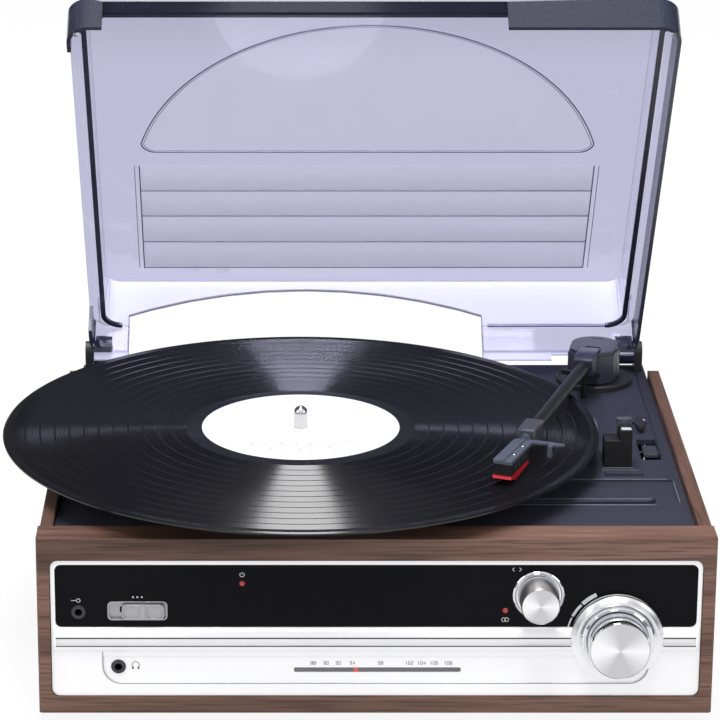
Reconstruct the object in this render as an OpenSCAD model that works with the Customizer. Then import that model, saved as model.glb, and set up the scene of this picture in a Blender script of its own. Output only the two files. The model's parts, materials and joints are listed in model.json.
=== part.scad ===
// Stereo music centre: a wooden cabinet with a radio fascia, a belt-driven record
// deck with its tonearm, and a smoked dust cover on rear hinges.
// X runs to the right, Y to the back and Z up. The pieces are drawn about the middle
// of the wooden cabinet and then placed so that the origin lies on the surface that
// the feet stand on, under the middle of the whole set with its cover open.
// The pose is an open cover with the arm over an outer groove of the record.

/* [Cabinet] */
// Height of the wooden cabinet
cabinet_h = 89; // [86:1:105]
// Thickness of the front board
front_t = 18; // [16:0.5:20]
// Thickness of each side board
side_t = 6; // [4:0.5:8]
// How far the front board stands out past each side board
front_lip = 1; // [0.5:0.1:2]
// How far the deck and the rear shell reach behind the side boards
rear_depth = 22.5; // [20:0.5:40]
// Drop from the top of the wood to the deck
deck_drop = 4; // [3:0.5:5]
// Thickness of the deck
deck_t = 3; // [2.6:0.2:4]
// Thickness of the bottom panel
bottom_t = 5; // [4:0.5:7]
// Wall of the rear shell
shell_t = 2.5; // [2:0.1:3.5]
// Height of the rubber feet
foot_h = 6; // [4:0.5:12]
// Diameter of the rubber feet
foot_d = 22; // [16:1:28]

/* [Room on the deck] */
// Gap from the front board to the platter
front_gap = 10.8; // [4:0.2:20]
// Gap from the left side board to the platter
left_gap = 19.8; // [2:0.2:30]
// Gap from the record's edge to the arm rest
rest_gap = 1.7; // [1:0.1:4]
// Distance from the left of the arm rest to the right side board
rest_to_side = 37; // [36.5:0.5:50]
// How far behind the platter's centre the arm's pivot stands
pivot_back = 120.7; // [112:0.1:128]
// Distance from the arm's pivot to the rear edge of the deck
pivot_to_rear = 28; // [27:0.5:40]

/* [Fascia] */
// Wood beside the fascia opening
fascia_side = 6.15; // [5.5:0.05:9]
// Wood above the fascia opening
fascia_drop = 10.9; // [8:0.1:13]
// Wood below the fascia opening
fascia_rail = 8.3; // [7:0.1:11]
// Corner radius of the fascia opening
fascia_r = 4; // [2:0.5:6]
// Width of the silver rim round the window
rim_w = 2.4; // [1.5:0.1:3]
// Gap from the window to the inset strip
strip_gap = 5.3; // [4:0.1:6]
// Height of the inset strip under the window
strip_h = 3; // [2:0.1:4]
// Height of the band below the inset strip
band_low = 4.1; // [3:0.1:5]
// Height of the lower panel
lower_h = 23.1; // [21:0.1:26]
// Diameter of the headphone and auxiliary sockets' bores
jack_bore = 3.6; // [3:0.1:4]

/* [Knobs] */
// Diameter of the volume knob
volume_d = 29; // [26:0.2:31]
// How far the volume knob stands out from the wood
volume_out = 17; // [12:0.5:20]
// Width of the bezel ring round the volume knob
bezel_w = 3.1; // [2.4:0.1:3.6]
// Outer diameter of the volume collar
collar_d = 44.4; // [43:0.2:46]
// Diameter of the tuning knob at its base
tuning_d = 20; // [17:0.2:22]
// Length of the tuning knob
tuning_len = 14; // [10:0.5:20]
// Diameter of the control shafts
shaft_d = 6; // [5:0.5:7]
// Effective radius of the drum that pulls the dial cord
drum_r = 13; // [10:0.5:15]

/* [Record deck] */
// Diameter of the record
record_d = 301; // [290:1:305]
// Thickness of the record
record_t = 1.9; // [1.2:0.1:2.4]
// Height of the record's top above the deck
record_h = 16; // [14.6:0.2:18]
// Diameter of the record label
label_d = 100; // [90:1:110]
// Diameter of the platter
platter_d = 198; // [185:1:215]
// Thickness of the platter's mat
mat_t = 2; // [1:0.1:3]
// Diameter of the platter's belt drum
belt_drum_d = 120; // [108:1:132]
// Diameter of the motor pulley
pulley_d = 8; // [7:0.5:10]
// Diameter of the spindle's tip
spindle_d = 7.1; // [6.8:0.05:7.2]
// Height of the spindle's tip above the record
spindle_h = 11; // [8:0.5:14]

/* [Tonearm] */
// Distance from the pivot to the stylus
arm_len = 203.5; // [195:0.5:210]
// Diameter of the arm tube
tube_d = 6.6; // [6:0.1:7]
// Height of the arm's pivot above the deck
pivot_h = 16; // [15.8:0.1:17]
// Upward slope of the arm tube towards its head in degrees
arm_rise = 4; // [3.8:0.1:4.4]
// Angle between the arm and the front-to-back line in degrees
arm_angle = 15.9; // [14:0.1:17]
// Diameter of the disc that the arm stands on
arm_disc_d = 41; // [36:1:43]

/* [Dust cover] */
// Gap from the front of the cabinet to the cover
cover_front_gap = 5; // [3:0.5:8]
// Gap from the cover to the rear edge of the deck
cover_rear_gap = 10.5; // [10:0.5:14]
// Gap from each side of the cabinet to the cover
cover_side_gap = 11.5; // [10:0.5:14]
// Height of the dust cover inside, from rim to panel
cover_h = 42; // [39:0.5:50]
// Height of the ledge above the rim
ledge_h = 17; // [15.5:0.5:20]
// Width of the ledge
ledge_w = 6.5; // [5:0.5:8]
// Wall of the dust cover
cover_t = 2; // [1.6:0.1:2.4]
// Angle that the cover stands open in degrees
open_angle = 55; // [50:1:60]

/* [Hidden] */

$fn = 96;
hull_fn = 32;
eps = 0.01;
fit = 0.3;          // gap round a piece that sits in an opening
run = 0.05;         // running clearance on a radius
through = 1;        // how far a cut reaches past the face that it opens

// The cabinet is as wide and deep as the platter, the record and the arm need.
inner_x = (left_gap + platter_d / 2 + record_d / 2 + rest_gap + rest_to_side) / 2;
side_x = inner_x + side_t;
cabinet_w = 2 * (side_x + front_lip);
cabinet_d = front_t + front_gap + platter_d / 2 + pivot_back + pivot_to_rear - rear_depth;
deck_x = inner_x - fit;
y_front = -cabinet_d / 2;
y_board = y_front + front_t;
y_wood_end = cabinet_d / 2;
y_rear = y_wood_end + rear_depth;
z_floor = foot_h;
z_inside = z_floor + bottom_t;
z_top = foot_h + cabinet_h;
z_deck = z_top - deck_drop;
z_deck_low = z_deck - deck_t;

// Places on the deck.
platter_x = platter_d / 2 + left_gap - inner_x;
platter_y = y_board + front_gap + platter_d / 2;
rest_x = platter_x + record_d / 2 + rest_gap;
arm_x = rest_x + 7.5;
arm_y = platter_y + pivot_back;
rest_y = arm_y - 140.5;

// Heights and depths on the fascia.
fascia_w = cabinet_w - 2 * fascia_side;
fascia_h = cabinet_h - fascia_drop - fascia_rail;
fascia_set = 1;
fascia_t = 4;
z_fascia_top = z_top - fascia_drop;
z_fascia_low = z_floor + fascia_rail;
z_fascia_mid = (z_fascia_top + z_fascia_low) / 2;
y_fascia = y_front + fascia_set;
y_fascia_back = y_fascia + fascia_t;
frame_w = fascia_w - 2 * fit;
frame_h = fascia_h - 2 * fit;
z_shoulder = z_fascia_low + lower_h;
z_strip_low = z_shoulder + band_low;
z_strip_top = z_strip_low + strip_h;
z_window_low = z_strip_top + strip_gap;
z_window_top = z_fascia_top - rim_w;
z_window_mid = (z_window_top + z_window_low) / 2;
window_w = fascia_w - 2 * rim_w;
window_h = z_window_top - z_window_low;
window_t = 2.4;
window_r = 3;
window_set = 0.4;
y_window = y_fascia + window_set;

// Controls on the fascia, from its ends and from the top of the window.
volume_x = fascia_w / 2 - 40.15;
z_volume = z_window_low - 4.9;
boss_out = 2;
boss_d = collar_d - 1;
tuning_x = fascia_w / 2 - 77.85;
z_tuning = z_window_top - 15.55;
tuning_bezel_w = 2.2;
sleeve_d = 13.2;
sleeve_gap = 0.3;
aux_x = 13.45 - fascia_w / 2;
z_aux = z_window_top - 24.15;
switch_x = 41.5 - fascia_w / 2;
z_switch = z_window_top - 23.55;
switch_w = 28.7;
switch_h = 9.7;
switch_r = 2.3;
slide_x = switch_x + 2.65;
slide_w = 20.4;
slide_h = 7.6;
power_light_x = 91.25 - fascia_w / 2;
z_power_light = z_window_top - 9.65;
stereo_light_x = tuning_x - 15.6;
z_stereo_light = z_window_top - 23.45;
light_d = 2.7;
light_gap = 0.15;
phones_x = 32.05 - fascia_w / 2;
z_phones = z_fascia_low + 15.1;
socket_d = 6;
socket_gap = 0.1;

// Stepped field and dial of the lower panel.
field_in = 24.35;
field_r = 8.7;
z_field_low = z_fascia_low + 6.8;
z_field_top = z_shoulder - 2.4;
dial_w = 79.7;
dial_mid = 0.85;
dial_left = dial_mid - dial_w / 2;
dial_right = dial_mid + dial_w / 2;
dial_h = 2.4;
z_dial = z_field_low + 6.6;
dial_skin = 1.4;
pointer_x = dial_mid - 10.25;

// Heights of the record deck.
z_record = z_deck + record_h;
z_record_low = z_record - record_t;
z_mat = z_record_low - mat_t;
z_platter_low = z_deck + 1;
platter_t = 1.8;
bearing_d = 6;
bush_d = 12;
shaft_low = 34;
hole_d = spindle_d + 0.14;
label_drop = 0.15;

// Motor, beside the belt drum and under the platter.
motor_angle = 215;
motor_r = belt_drum_d / 2 + 20;
motor_x = platter_x + motor_r * cos(motor_angle);
motor_y = platter_y + motor_r * sin(motor_angle);
motor_shaft_d = 2;
motor_hole_d = pulley_d + 6;
pulley_low = z_platter_low + 1.5;

// The tonearm, with the pivot at the origin and the head towards -Y.
disc_t = 3.4;
post_d = 10;
stem_d = 7.8;
housing_w = 25;
housing_front = 18.5;
housing_back = 13.5;
housing_low = 4.2;
housing_top = 21.4;
gimbal_d = 3;
tail_len = 3;
stylus_s = 19.5;
head_s = arm_len - stylus_s;
head_len = 35;
head_w = 9.8;
head_t = 1.6;
head_turn = 6.5;
head_z = pivot_h + head_s * sin(arm_rise);
collar_gap = 2;
collar_len = 22;
collar_s = head_s - collar_gap - collar_len;
arm_collar_d = 8.5;
cartridge_h = 6.4;
stylus_gap = 0.3;
tip_z = record_h + stylus_gap - head_z;
lift_r = 30;
lift_rod_d = 3;

// The arm rest, the step that it stands on and the levers beside it.
rest_w = 14;
rest_l = 12;
rest_h = 15.2;
step_t = 1.2;
cue_x = rest_x + 25.5;
cue_y = rest_y + 29;
cue_axle_d = 1.6;
cue_axle_drop = 1.5;
speed_x = rest_x + 24.5;
speed_y = rest_y + 70;
slot_w = 9;
tray_x1 = rest_x + 33;
tray_y1 = rest_y - 15.3;
tray_y0 = tray_y1 - 35.1;

// The dust cover, drawn closed and then turned open about its hinge.
cover_w = cabinet_w - 2 * cover_side_gap;
cover_front_y = y_front + cover_front_gap;
cover_rear_y = y_rear - cover_rear_gap;
z_cover = z_top + 2.3;
hinge_y = cover_rear_y + 3.4;
z_hinge = z_cover + 4.5;
rear_slope = 7.5;
front_slope = 30;
side_slope = 2;
cover_r = 11;
knuckle_r = 7.5;
knuckle_w = 10;
knuckle_x = cover_w / 2 - 11.9;
pin_d = 4;
cheek_w = 4.2;
gap_left = platter_x - 96.8;
gap_right = platter_x + 100.2;
arch_x = platter_x + 3.2;
arch_r = 327;
arch_top = 38;
leg_l = 18;
flare_l = 20;

// Middle of the whole set with its cover open, where the origin lies.
x_mid = (platter_x - record_d / 2 + cabinet_w / 2) / 2;
panel_edge = [cover_rear_y - rear_slope - hinge_y, cover_h + cover_t + z_cover - z_hinge];
y_back = hinge_y + panel_edge[0] * cos(open_angle) + panel_edge[1] * sin(open_angle);
y_mid = (platter_y - record_d / 2 + y_back) / 2;
module placed() {
    translate([-x_mid, -y_mid, 0]) children();
}

// Rounded rectangle about the origin.
module plate(w, h, r) {
    union() {
        square([w - 2 * r, h], center = true);
        square([w, h - 2 * r], center = true);
        for (x = [-1, 1], y = [-1, 1])
            translate([x * (w / 2 - r), y * (h / 2 - r)]) circle(r = r);
    }
}

// Turns a flat outline in X and Z into a plate whose front face is at y.
module front_plate(y, t) {
    translate([0, y + t, 0]) rotate([90, 0, 0]) linear_extrude(t) children();
}

// Axis that points out of the fascia, towards the front.
module out_of_fascia(x, y, z) {
    translate([x, y, z]) rotate([90, 0, 0]) children();
}

// Box between two corners.
module box(x0, x1, y0, y1, z0, z1) {
    translate([x0, y0, z0]) cube([x1 - x0, y1 - y0, z1 - z0]);
}

// Box that is centred on X.
module block(w, y0, y1, z0, z1) {
    box(-w / 2, w / 2, y0, y1, z0, z1);
}

module front_board() {
    half = cabinet_w / 2;
    color("saddlebrown") difference() {
        translate([0, y_front, z_floor]) linear_extrude(cabinet_h) polygon([
            [front_lip - half, 0], [half - front_lip, 0], [half, front_lip], [half, front_t],
            [-half, front_t], [-half, front_lip]]);
        translate([0, 0, z_fascia_mid])
            front_plate(y_front - through, front_t + 2 * through) plate(fascia_w, fascia_h, fascia_r);
    }
}

module side_board(side) {
    color("saddlebrown") translate([side * (side_x - side_t / 2), 0, 0])
        block(side_t, y_board, y_wood_end, z_floor, z_top);
}

speaker_x = inner_x - 58;
speaker_y = 40;
speaker_r = 32;
slot_count = 6;
slot_pitch = 7;
slot_len = 36;
slot_t = 3;
module bottom_panel() {
    color("tan") difference() {
        block(2 * inner_x, y_board, y_wood_end, z_floor, z_inside);
        for (side = [-1, 1], i = [0 : slot_count - 1])
            translate([side * speaker_x, speaker_y, z_floor - through])
                translate([0, (i - (slot_count - 1) / 2) * slot_pitch, 0])
                    linear_extrude(bottom_t + 2 * through) plate(slot_len, slot_t, slot_t / 2 - 0.1);
    }
}

// Two small speakers face down over the slots: rim, cone and magnet.
module speakers() {
    rim_h = 2.5;
    magnet_r = speaker_r / 2;
    speaker_h = 26;
    color("dimgray") for (side = [-1, 1]) translate([side * speaker_x, speaker_y, z_inside])
        rotate_extrude() polygon([
            [0, 4], [12, 6], [speaker_r - 5, 1.5], [speaker_r - 5, 0], [speaker_r, 0], [speaker_r, rim_h],
            [speaker_r - 4, rim_h + 1], [magnet_r, magnet_r], [magnet_r, speaker_h], [0, speaker_h]]);
}

line_x = -88;
line_pitch = 18;
line_d = 9.3;
line_bore = 3.2;
inlet_x = 96;
inlet_w = 21.6;
inlet_h = 11.6;
z_socket = 46;
vent_count = 11;
vent_pitch = 8;
vent_w = 4;
vent_h = 16;
z_vent = z_deck_low - shell_t - 6 - vent_h / 2;
module rear_shell() {
    color([0.09, 0.09, 0.1]) difference() {
        block(2 * deck_x, y_wood_end, y_rear, z_floor, z_deck_low);
        block(2 * (deck_x - shell_t), y_wood_end - through, y_rear - shell_t, z_floor + shell_t,
            z_deck_low - shell_t);
        for (i = [0 : vent_count - 1])
            translate([(i - (vent_count - 1) / 2) * vent_pitch, y_rear + through, z_vent])
                rotate([90, 0, 0]) linear_extrude(shell_t + 2 * through) plate(vent_w, vent_h, 1.5);
        for (side = [-1, 1]) translate([line_x + side * line_pitch / 2, y_rear + through, z_socket])
            rotate([90, 0, 0]) cylinder(d = line_d + 0.1, h = shell_t + 2 * through);
        translate([inlet_x, 0, z_socket]) block(inlet_w + 0.4, y_rear - shell_t - through, y_rear + through,
            -inlet_h / 2 - 0.2, inlet_h / 2 + 0.2);
    }
}

module line_sockets() {
    flange_t = 8;
    barrel = 7;
    color("gold") for (side = [-1, 1])
        translate([line_x + side * line_pitch / 2, y_rear - shell_t - flange_t, z_socket])
            rotate([-90, 0, 0]) difference() {
                union() {
                    cylinder(d = line_d + 4.7, h = flange_t);
                    cylinder(d = line_d, h = flange_t + shell_t);
                    cylinder(d = line_d - 1.1, h = flange_t + shell_t + barrel);
                }
                translate([0, 0, 4]) cylinder(d = line_bore, h = flange_t + shell_t + barrel);
            }
}

// Two-pole inlet with its contact pins, open to the back.
module power_inlet() {
    body_l = 20;
    recess = 11;
    lobe_r = 3.9;
    lobe_x = 3.4;
    pin_x = 4.3;
    contact_d = 2;
    flange = 2;
    color([0.08, 0.08, 0.08]) translate([inlet_x, y_rear, z_socket]) {
        difference() {
            union() {
                block(inlet_w, -body_l, 0, -inlet_h / 2, inlet_h / 2);
                block(inlet_w + 2 * flange, -shell_t - flange, -shell_t, -inlet_h / 2 - flange,
                    inlet_h / 2 + flange);
            }
            block(2 * lobe_x, -recess, through, -lobe_r, lobe_r);
            for (side = [-1, 1]) translate([side * lobe_x, through, 0])
                rotate([90, 0, 0]) cylinder(r = lobe_r, h = recess + through);
        }
        for (side = [-1, 1]) translate([side * pin_x, -recess - eps, 0])
            rotate([-90, 0, 0]) cylinder(d = contact_d, h = recess - 1);
    }
}

foot_in = 28;
foot_x = cabinet_w / 2 - foot_in;
foot_y = cabinet_d / 2 - foot_in;
module feet() {
    recess_r = 4;
    recess_z = 2.5;
    draft = 2;
    color([0.1, 0.1, 0.1]) for (x = [-1, 1], y = [-1, 1]) translate([x * foot_x, y * foot_y, 0])
        rotate_extrude() polygon([[recess_r, 0], [foot_d / 2 - draft, 0], [foot_d / 2, foot_h], [0, foot_h],
            [0, recess_z], [recess_r, recess_z]]);
}

screw_head_d = 7;
screw_head_t = 1.6;
module screw_head() {
    cylinder(d1 = screw_head_d, d2 = screw_head_d - 2, h = screw_head_t);
}
module case_screws() {
    from_foot = 30;
    from_edge = 14;
    color("silver") for (x = [-1, 1]) {
        for (y = [-1, 1]) translate([x * (foot_x - from_foot), y * foot_y, z_floor])
            mirror([0, 0, 1]) screw_head();
        for (z = [z_floor + from_edge, z_deck - from_edge]) translate([x * (deck_x - 9), y_rear, z])
            rotate([-90, 0, 0]) screw_head();
    }
}

module deck() {
    tray_drop = 1.2;
    tray_r = 3;
    tray_w = 110;
    bar_w = 97;
    bar_l = 19.5;
    bar_x = rest_x - 27;
    bar_rise = 0.8;
    boss_h = 12;
    boss_wall = 3.5;
    cue_room_w = 10;
    cue_room_l = 31;
    ear_t = 2.4;
    ear_l = 5;
    step_w = 19;
    slot_l = 3.2;
    groove_x = tray_x1 - 2;
    cut_h = deck_t + 2 * through;
    color([0.13, 0.13, 0.15]) difference() {
        union() {
            difference() {
                block(2 * deck_x, y_board, y_rear, z_deck_low, z_deck);
                translate([tray_x1 - tray_w / 2, (tray_y0 + tray_y1) / 2, z_deck - tray_drop])
                    linear_extrude(deck_t) plate(tray_w, tray_y1 - tray_y0, tray_r);
                translate([cue_x, cue_y + 0.5, z_deck_low - through])
                    linear_extrude(deck_t + 2 * through) plate(cue_room_w, cue_room_l, 1);
            }
            // low rounded bar that lies in the front tray
            translate([bar_x, tray_y0 + bar_l / 2 + 2, z_deck_low + eps])
                linear_extrude(deck_t + bar_rise) plate(bar_w, bar_l, 6);
            // boss of the platter's bearing
            translate([platter_x, platter_y, z_deck_low - boss_h])
                cylinder(d = bush_d + 2 * boss_wall, h = boss_h + eps);
            // ears that carry the axle of the cue lever
            for (side = [-1, 1]) translate([cue_x + side * (cue_room_w + 1.2) / 2, cue_y, 0])
                block(ear_t, -ear_l / 2, ear_l / 2, z_deck_low - 1.3, z_deck_low + 1.7);
            // step under the arm rest and beside the platter
            translate([rest_x, rest_y, z_deck - eps]) linear_extrude(step_t) polygon([
                [0, -10], [step_w, -10], [step_w, 104], [step_w / 2, 104], [0, 27]]);
        }
        // axle and slot of the levers
        translate([cue_x - 7, cue_y, z_deck - cue_axle_drop]) rotate([0, 90, 0])
            cylinder(d = cue_axle_d + 2 * run, h = 14);
        translate([speed_x, speed_y, 0])
            block(slot_w, -slot_l / 2, slot_l / 2, z_deck_low - through, z_deck + 2 * step_t);
        // platter bearing, motor pulley, arm post and lift rod
        translate([platter_x, platter_y, z_deck_low - boss_h - through]) cylinder(d = bush_d, h = 30);
        translate([motor_x, motor_y, z_deck_low - through]) cylinder(d = motor_hole_d, h = cut_h);
        translate([arm_x, arm_y, z_deck_low - through]) cylinder(d = stem_d + 0.2, h = cut_h);
        arm_frame() translate([0, -lift_r, -deck_t - through]) cylinder(d = lift_rod_d + 2 * run, h = cut_h);
        // groove along the right edge
        box(groove_x - 0.4, groove_x + 0.4, tray_y1 + 32, y_rear - 17, z_deck - 0.5, z_deck + through);
    }
}

// Cuts for one lamp, socket, bezel or slide through the fascia.
module fascia_cuts() {
    deep = 20;
    y_out = y_fascia_back + through;
    out_of_fascia(tuning_x, y_out, z_tuning) cylinder(d = sleeve_d + 2 * sleeve_gap, h = deep);
    out_of_fascia(aux_x, y_out, z_aux) cylinder(d = socket_d + 2 * socket_gap, h = deep);
    for (p = [[power_light_x, z_power_light], [stereo_light_x, z_stereo_light]])
        out_of_fascia(p[0], y_out, p[1]) cylinder(d = light_d + 2 * light_gap, h = deep);
    translate([switch_x, 0, z_switch]) front_plate(y_out - deep, deep) plate(switch_w, switch_h, switch_r);
}

module fascia_frame() {
    band_r = 8.4;
    band_in = 1.2;
    band_out = 2.6;
    z_band = z_strip_low + strip_h / 2 + 0.2;
    flange_t = 1.4;
    field_h = z_field_top - z_field_low + field_r;
    field_drop = 0.6;
    color([0.86, 0.87, 0.89]) difference() {
        union() {
            difference() {
                union() {
                    translate([0, 0, z_fascia_mid]) {
                        front_plate(y_fascia, fascia_t) plate(frame_w, frame_h, fascia_r - fit);
                        front_plate(y_fascia_back - flange_t, flange_t)
                            plate(fascia_w - 2 * run, fascia_h - 2 * run, fascia_r - run);
                    }
                    // rounded silver band that carries the inset strip
                    intersection() {
                        translate([-frame_w / 2, y_fascia + band_r - band_out, z_band])
                            rotate([0, 90, 0]) cylinder(r = band_r, h = frame_w);
                        block(frame_w - 2 * band_in, y_front - 4, y_fascia + through,
                            z_shoulder, z_window_low);
                    }
                }
                // pocket of the black window, and the inset strip
                translate([0, 0, z_window_mid])
                    front_plate(y_fascia - through, through + window_t) plate(window_w, window_h, window_r);
                block(frame_w - 4.8, y_front - 5, y_fascia - 0.7, z_strip_low, z_strip_top);
                // stepped field of the lower panel
                intersection() {
                    translate([0, 0, z_field_low + field_h / 2])
                        front_plate(y_fascia - through, through + field_drop)
                            plate(fascia_w - 2 * field_in, field_h, field_r);
                    block(fascia_w, y_fascia - 2, y_fascia + 2, z_field_low - through, z_field_top);
                }
                out_of_fascia(volume_x, y_fascia, z_volume) cylinder(d = boss_d, h = 10);
                out_of_fascia(tuning_x, y_window, z_tuning)
                    cylinder(d = tuning_d + 2 * tuning_bezel_w + 2 * fit, h = 10);
            }
            // round boss that carries the volume control's collar
            out_of_fascia(volume_x, y_fascia + 3, z_volume) cylinder(d = boss_d, h = 3 + boss_out);
        }
        fascia_cuts();
        out_of_fascia(volume_x, y_fascia_back + through, z_volume) cylinder(d = shaft_d + 2, h = 12);
        out_of_fascia(phones_x, y_fascia_back + through, z_phones)
            cylinder(d = socket_d + 2 * socket_gap, h = 8);
        // slot of the dial scale, and the room behind it for the pointer
        translate([dial_mid, 0, z_dial]) {
            front_plate(y_fascia - through, fascia_t + 2 * through) plate(dial_w, dial_h, 0.9);
            block(dial_w + 6, y_fascia + dial_skin, y_fascia_back + through, -6, 3);
        }
    }
}

module fascia_window() {
    clear = 0.15;
    color([0.03, 0.03, 0.03]) difference() {
        translate([0, 0, z_window_mid]) front_plate(y_window, window_t - window_set)
            plate(window_w - 2 * clear, window_h - 2 * clear, window_r - clear);
        out_of_fascia(volume_x, y_fascia_back, z_volume) cylinder(d = boss_d + 0.1, h = 12);
        fascia_cuts();
    }
}

module dial_scale() {
    scale_t = 1.2;
    slot_low = z_dial - 5.2;
    color([0.35, 0.36, 0.38]) translate([dial_mid, 0, 0]) difference() {
        block(dial_w + 14, y_fascia_back, y_fascia_back + scale_t, z_dial - 9, z_dial + 6);
        block(dial_w, y_fascia_back - through, y_fascia_back + scale_t + through, slot_low, slot_low + 1.6);
    }
}

// Bright rounded ring that stands over the upper half of the volume knob.
module volume_collar() {
    r = collar_d / 2;
    ring_w = 4.2;
    ring_h = 3.9;
    color([0.9, 0.9, 0.92]) out_of_fascia(volume_x, y_fascia - boss_out, z_volume) intersection() {
        rotate_extrude() polygon([
            [r - ring_w, 0], [r, 0], [r - 0.3, 1.2], [r - 1.6, 2.6], [r - 2.4, ring_h - 0.3],
            [r - 3.2, ring_h], [r - 4, ring_h - 0.5], [r - ring_w, 2.6]]);
        translate([-collar_d, 2.6, -through]) cube([2 * collar_d, collar_d, ring_h + 2 * through]);
    }
}

module volume_bezel() {
    bore = volume_d / 2 + 0.5;
    r = volume_d / 2 + bezel_w;
    bezel_h = 3.6;
    color([0.9, 0.9, 0.92]) out_of_fascia(volume_x, y_fascia - boss_out, z_volume) rotate_extrude() polygon([
        [bore, 0], [r, 0], [r, 2], [r - 0.7, bezel_h - 0.4], [r - 1.3, bezel_h], [bore, bezel_h - 0.8]]);
}

module tuning_bezel() {
    r = tuning_d / 2 + tuning_bezel_w;
    bore = shaft_d / 2 + 1;
    sleeve_l = 6;
    face = 0.6;
    color([0.8, 0.8, 0.82]) out_of_fascia(tuning_x, y_window, z_tuning) rotate_extrude() polygon([
        [bore, -sleeve_l], [sleeve_d / 2, -sleeve_l], [sleeve_d / 2, 0], [r, 0], [r, 0.5], [r - 0.4, 0.9],
        [r - 0.8, 0.5], [r - 1.1, 0.9], [r - 1.5, face], [bore, face]]);
}

module switch_plate() {
    flange = 2;
    rim_out = 0.3;
    color([0.8, 0.8, 0.82]) translate([switch_x, 0, z_switch]) difference() {
        union() {
            front_plate(y_window - rim_out, y_fascia_back - y_window + rim_out)
                plate(switch_w - 0.2, switch_h - 0.2, switch_r - 0.1);
            front_plate(y_fascia_back, 1.2)
                square([switch_w + 2 * flange, switch_h + 2 * flange], center = true);
        }
        front_plate(y_window - through, 2.6) plate(switch_w - 1.6, switch_h - 1.2, switch_r - 0.5);
        front_plate(y_window, 9) square([switch_w - 12, 3], center = true);
    }
}

// Sliding button with two finger hollows and a rib between them.
module function_slide() {
    hollow_w = 7.4;
    hollow_x = 5.6;
    color([0.75, 0.76, 0.78]) translate([slide_x, 0, z_switch]) {
        difference() {
            front_plate(y_window - 2.2, 3.4) plate(slide_w - 0.4, slide_h, 2.1);
            for (side = [-1, 1]) translate([side * hollow_x, 0, 0])
                front_plate(y_window - 3, 1.5) plate(hollow_w, slide_h - 1.6, 1.6);
        }
        front_plate(y_window - 3.4, 2) plate(2.2, slide_h - 1, 0.6);
        front_plate(y_window + 1, 8) square([4, 2.2], center = true);
    }
}

module light(x, z) {
    r = light_d / 2;
    flange_t = 2;
    lens_l = 6.4;
    color("red") out_of_fascia(x, y_fascia_back + flange_t, z) rotate_extrude() polygon([
        [0, 0], [r + 1, 0], [r + 1, flange_t], [r, flange_t], [r, lens_l - 0.8], [r - 0.4, lens_l - 0.2],
        [0, lens_l]]);
}

module socket(x, z, y_face) {
    socket_l = 18;
    bore_l = 15;
    case_w = 10;
    color([0.12, 0.12, 0.13]) out_of_fascia(x, y_face, z) difference() {
        union() {
            translate([0, 0, -socket_l]) cylinder(d = socket_d, h = socket_l + eps);
            cylinder(d1 = socket_d + 1.2, d2 = socket_d + 0.6, h = 0.8);
            translate([-case_w / 2, -case_w / 2, -socket_l])
                cube([case_w, case_w, socket_l + y_face - y_fascia_back]);
        }
        translate([0, 0, -bore_l]) cylinder(d = jack_bore, h = bore_l + 3);
    }
}

board_w = 128;
board_l = 78;
board_t = 1.6;
pillar_h = 6;
module main_board() {
    board_y = y_board + 18;
    z_board = z_inside + pillar_h;
    can_d = 10;
    chip_w = 70;
    chip_l = 12;
    color("darkgreen") translate([-6, board_y, 0]) {
        block(board_w, 0, board_l, z_board, z_board + board_t);
        for (side = [-1, 1], y = [pillar_h, board_l - pillar_h])
            translate([side * (board_w / 2 - pillar_h), y, z_inside]) cylinder(d = 5, h = pillar_h);
        for (i = [-2 : 1]) translate([i * 1.8 * can_d, board_l - 2.6 * can_d, z_board + board_t])
            cylinder(d = can_d, h = 1.4 * can_d);
        block(chip_w, 1.4 * chip_l, 2.4 * chip_l, z_board + board_t, z_board + board_t + 2.4);
    }
}

core_w = 38;
core_l = 32;
core_h = 34;
module transformer() {
    plate_t = 2;
    coil_w = core_w - 10;
    coil_l = core_l + 12;
    color("silver") translate([0, y_wood_end - core_l - 12, z_inside]) {
        block(core_w + 16, -core_l / 2, core_l / 2, 0, plate_t);
        block(core_w, -core_l / 2, core_l / 2, 0, core_h);
        block(coil_w, -coil_l / 2, coil_l / 2, core_h / 4, core_h - 6);
    }
}

module volume_control() {
    h = 14;
    can_d = 18;
    color("steelblue") out_of_fascia(volume_x, y_fascia_back + h, z_volume) difference() {
        union() {
            cylinder(d = can_d, h = h);
            translate([-can_d / 2, -16, 2]) cube([can_d, 10, 3]);
        }
        translate([0, 0, 2]) cylinder(d = shaft_d + 2 * run, h = h);
    }
}

module tuning_capacitor() {
    case_w = 22;
    case_l = 14;
    y_back = y_fascia_back + 25;
    bracket_w = 16;
    bracket_t = 2;
    color("silver") {
        out_of_fascia(tuning_x, y_back, z_tuning) difference() {
            union() {
                translate([-case_w / 2, -case_w / 2, 0]) cube([case_w, case_w, case_l]);
                cylinder(d = shaft_d + 4, h = case_l + 2);
            }
            translate([0, 0, 2]) cylinder(d = shaft_d + 2 * run, h = case_l + 2);
        }
        // bracket that stands on the bottom panel
        translate([tuning_x, y_back, 0]) {
            block(bracket_w, -eps, bracket_t, z_inside, z_tuning + case_w / 2);
            block(bracket_w, -eps, 7 * bracket_t, z_inside, z_inside + bracket_t);
        }
    }
}

module volume_knob() {
    gap = 0.4;
    len = volume_out + fascia_set - boss_out - gap;
    r = volume_d / 2;
    shaft_l = 16;
    color([0.85, 0.85, 0.87]) out_of_fascia(volume_x, y_fascia - boss_out - gap, z_volume) {
        rotate_extrude() polygon([
            [0, 0], [r, 0], [r, len - 2.6], [r - 0.9, len - 0.8], [r - 1.3, len], [0, len - 0.3]]);
        translate([0, 0, -shaft_l]) cylinder(d = shaft_d, h = shaft_l + eps);
    }
}

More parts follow.
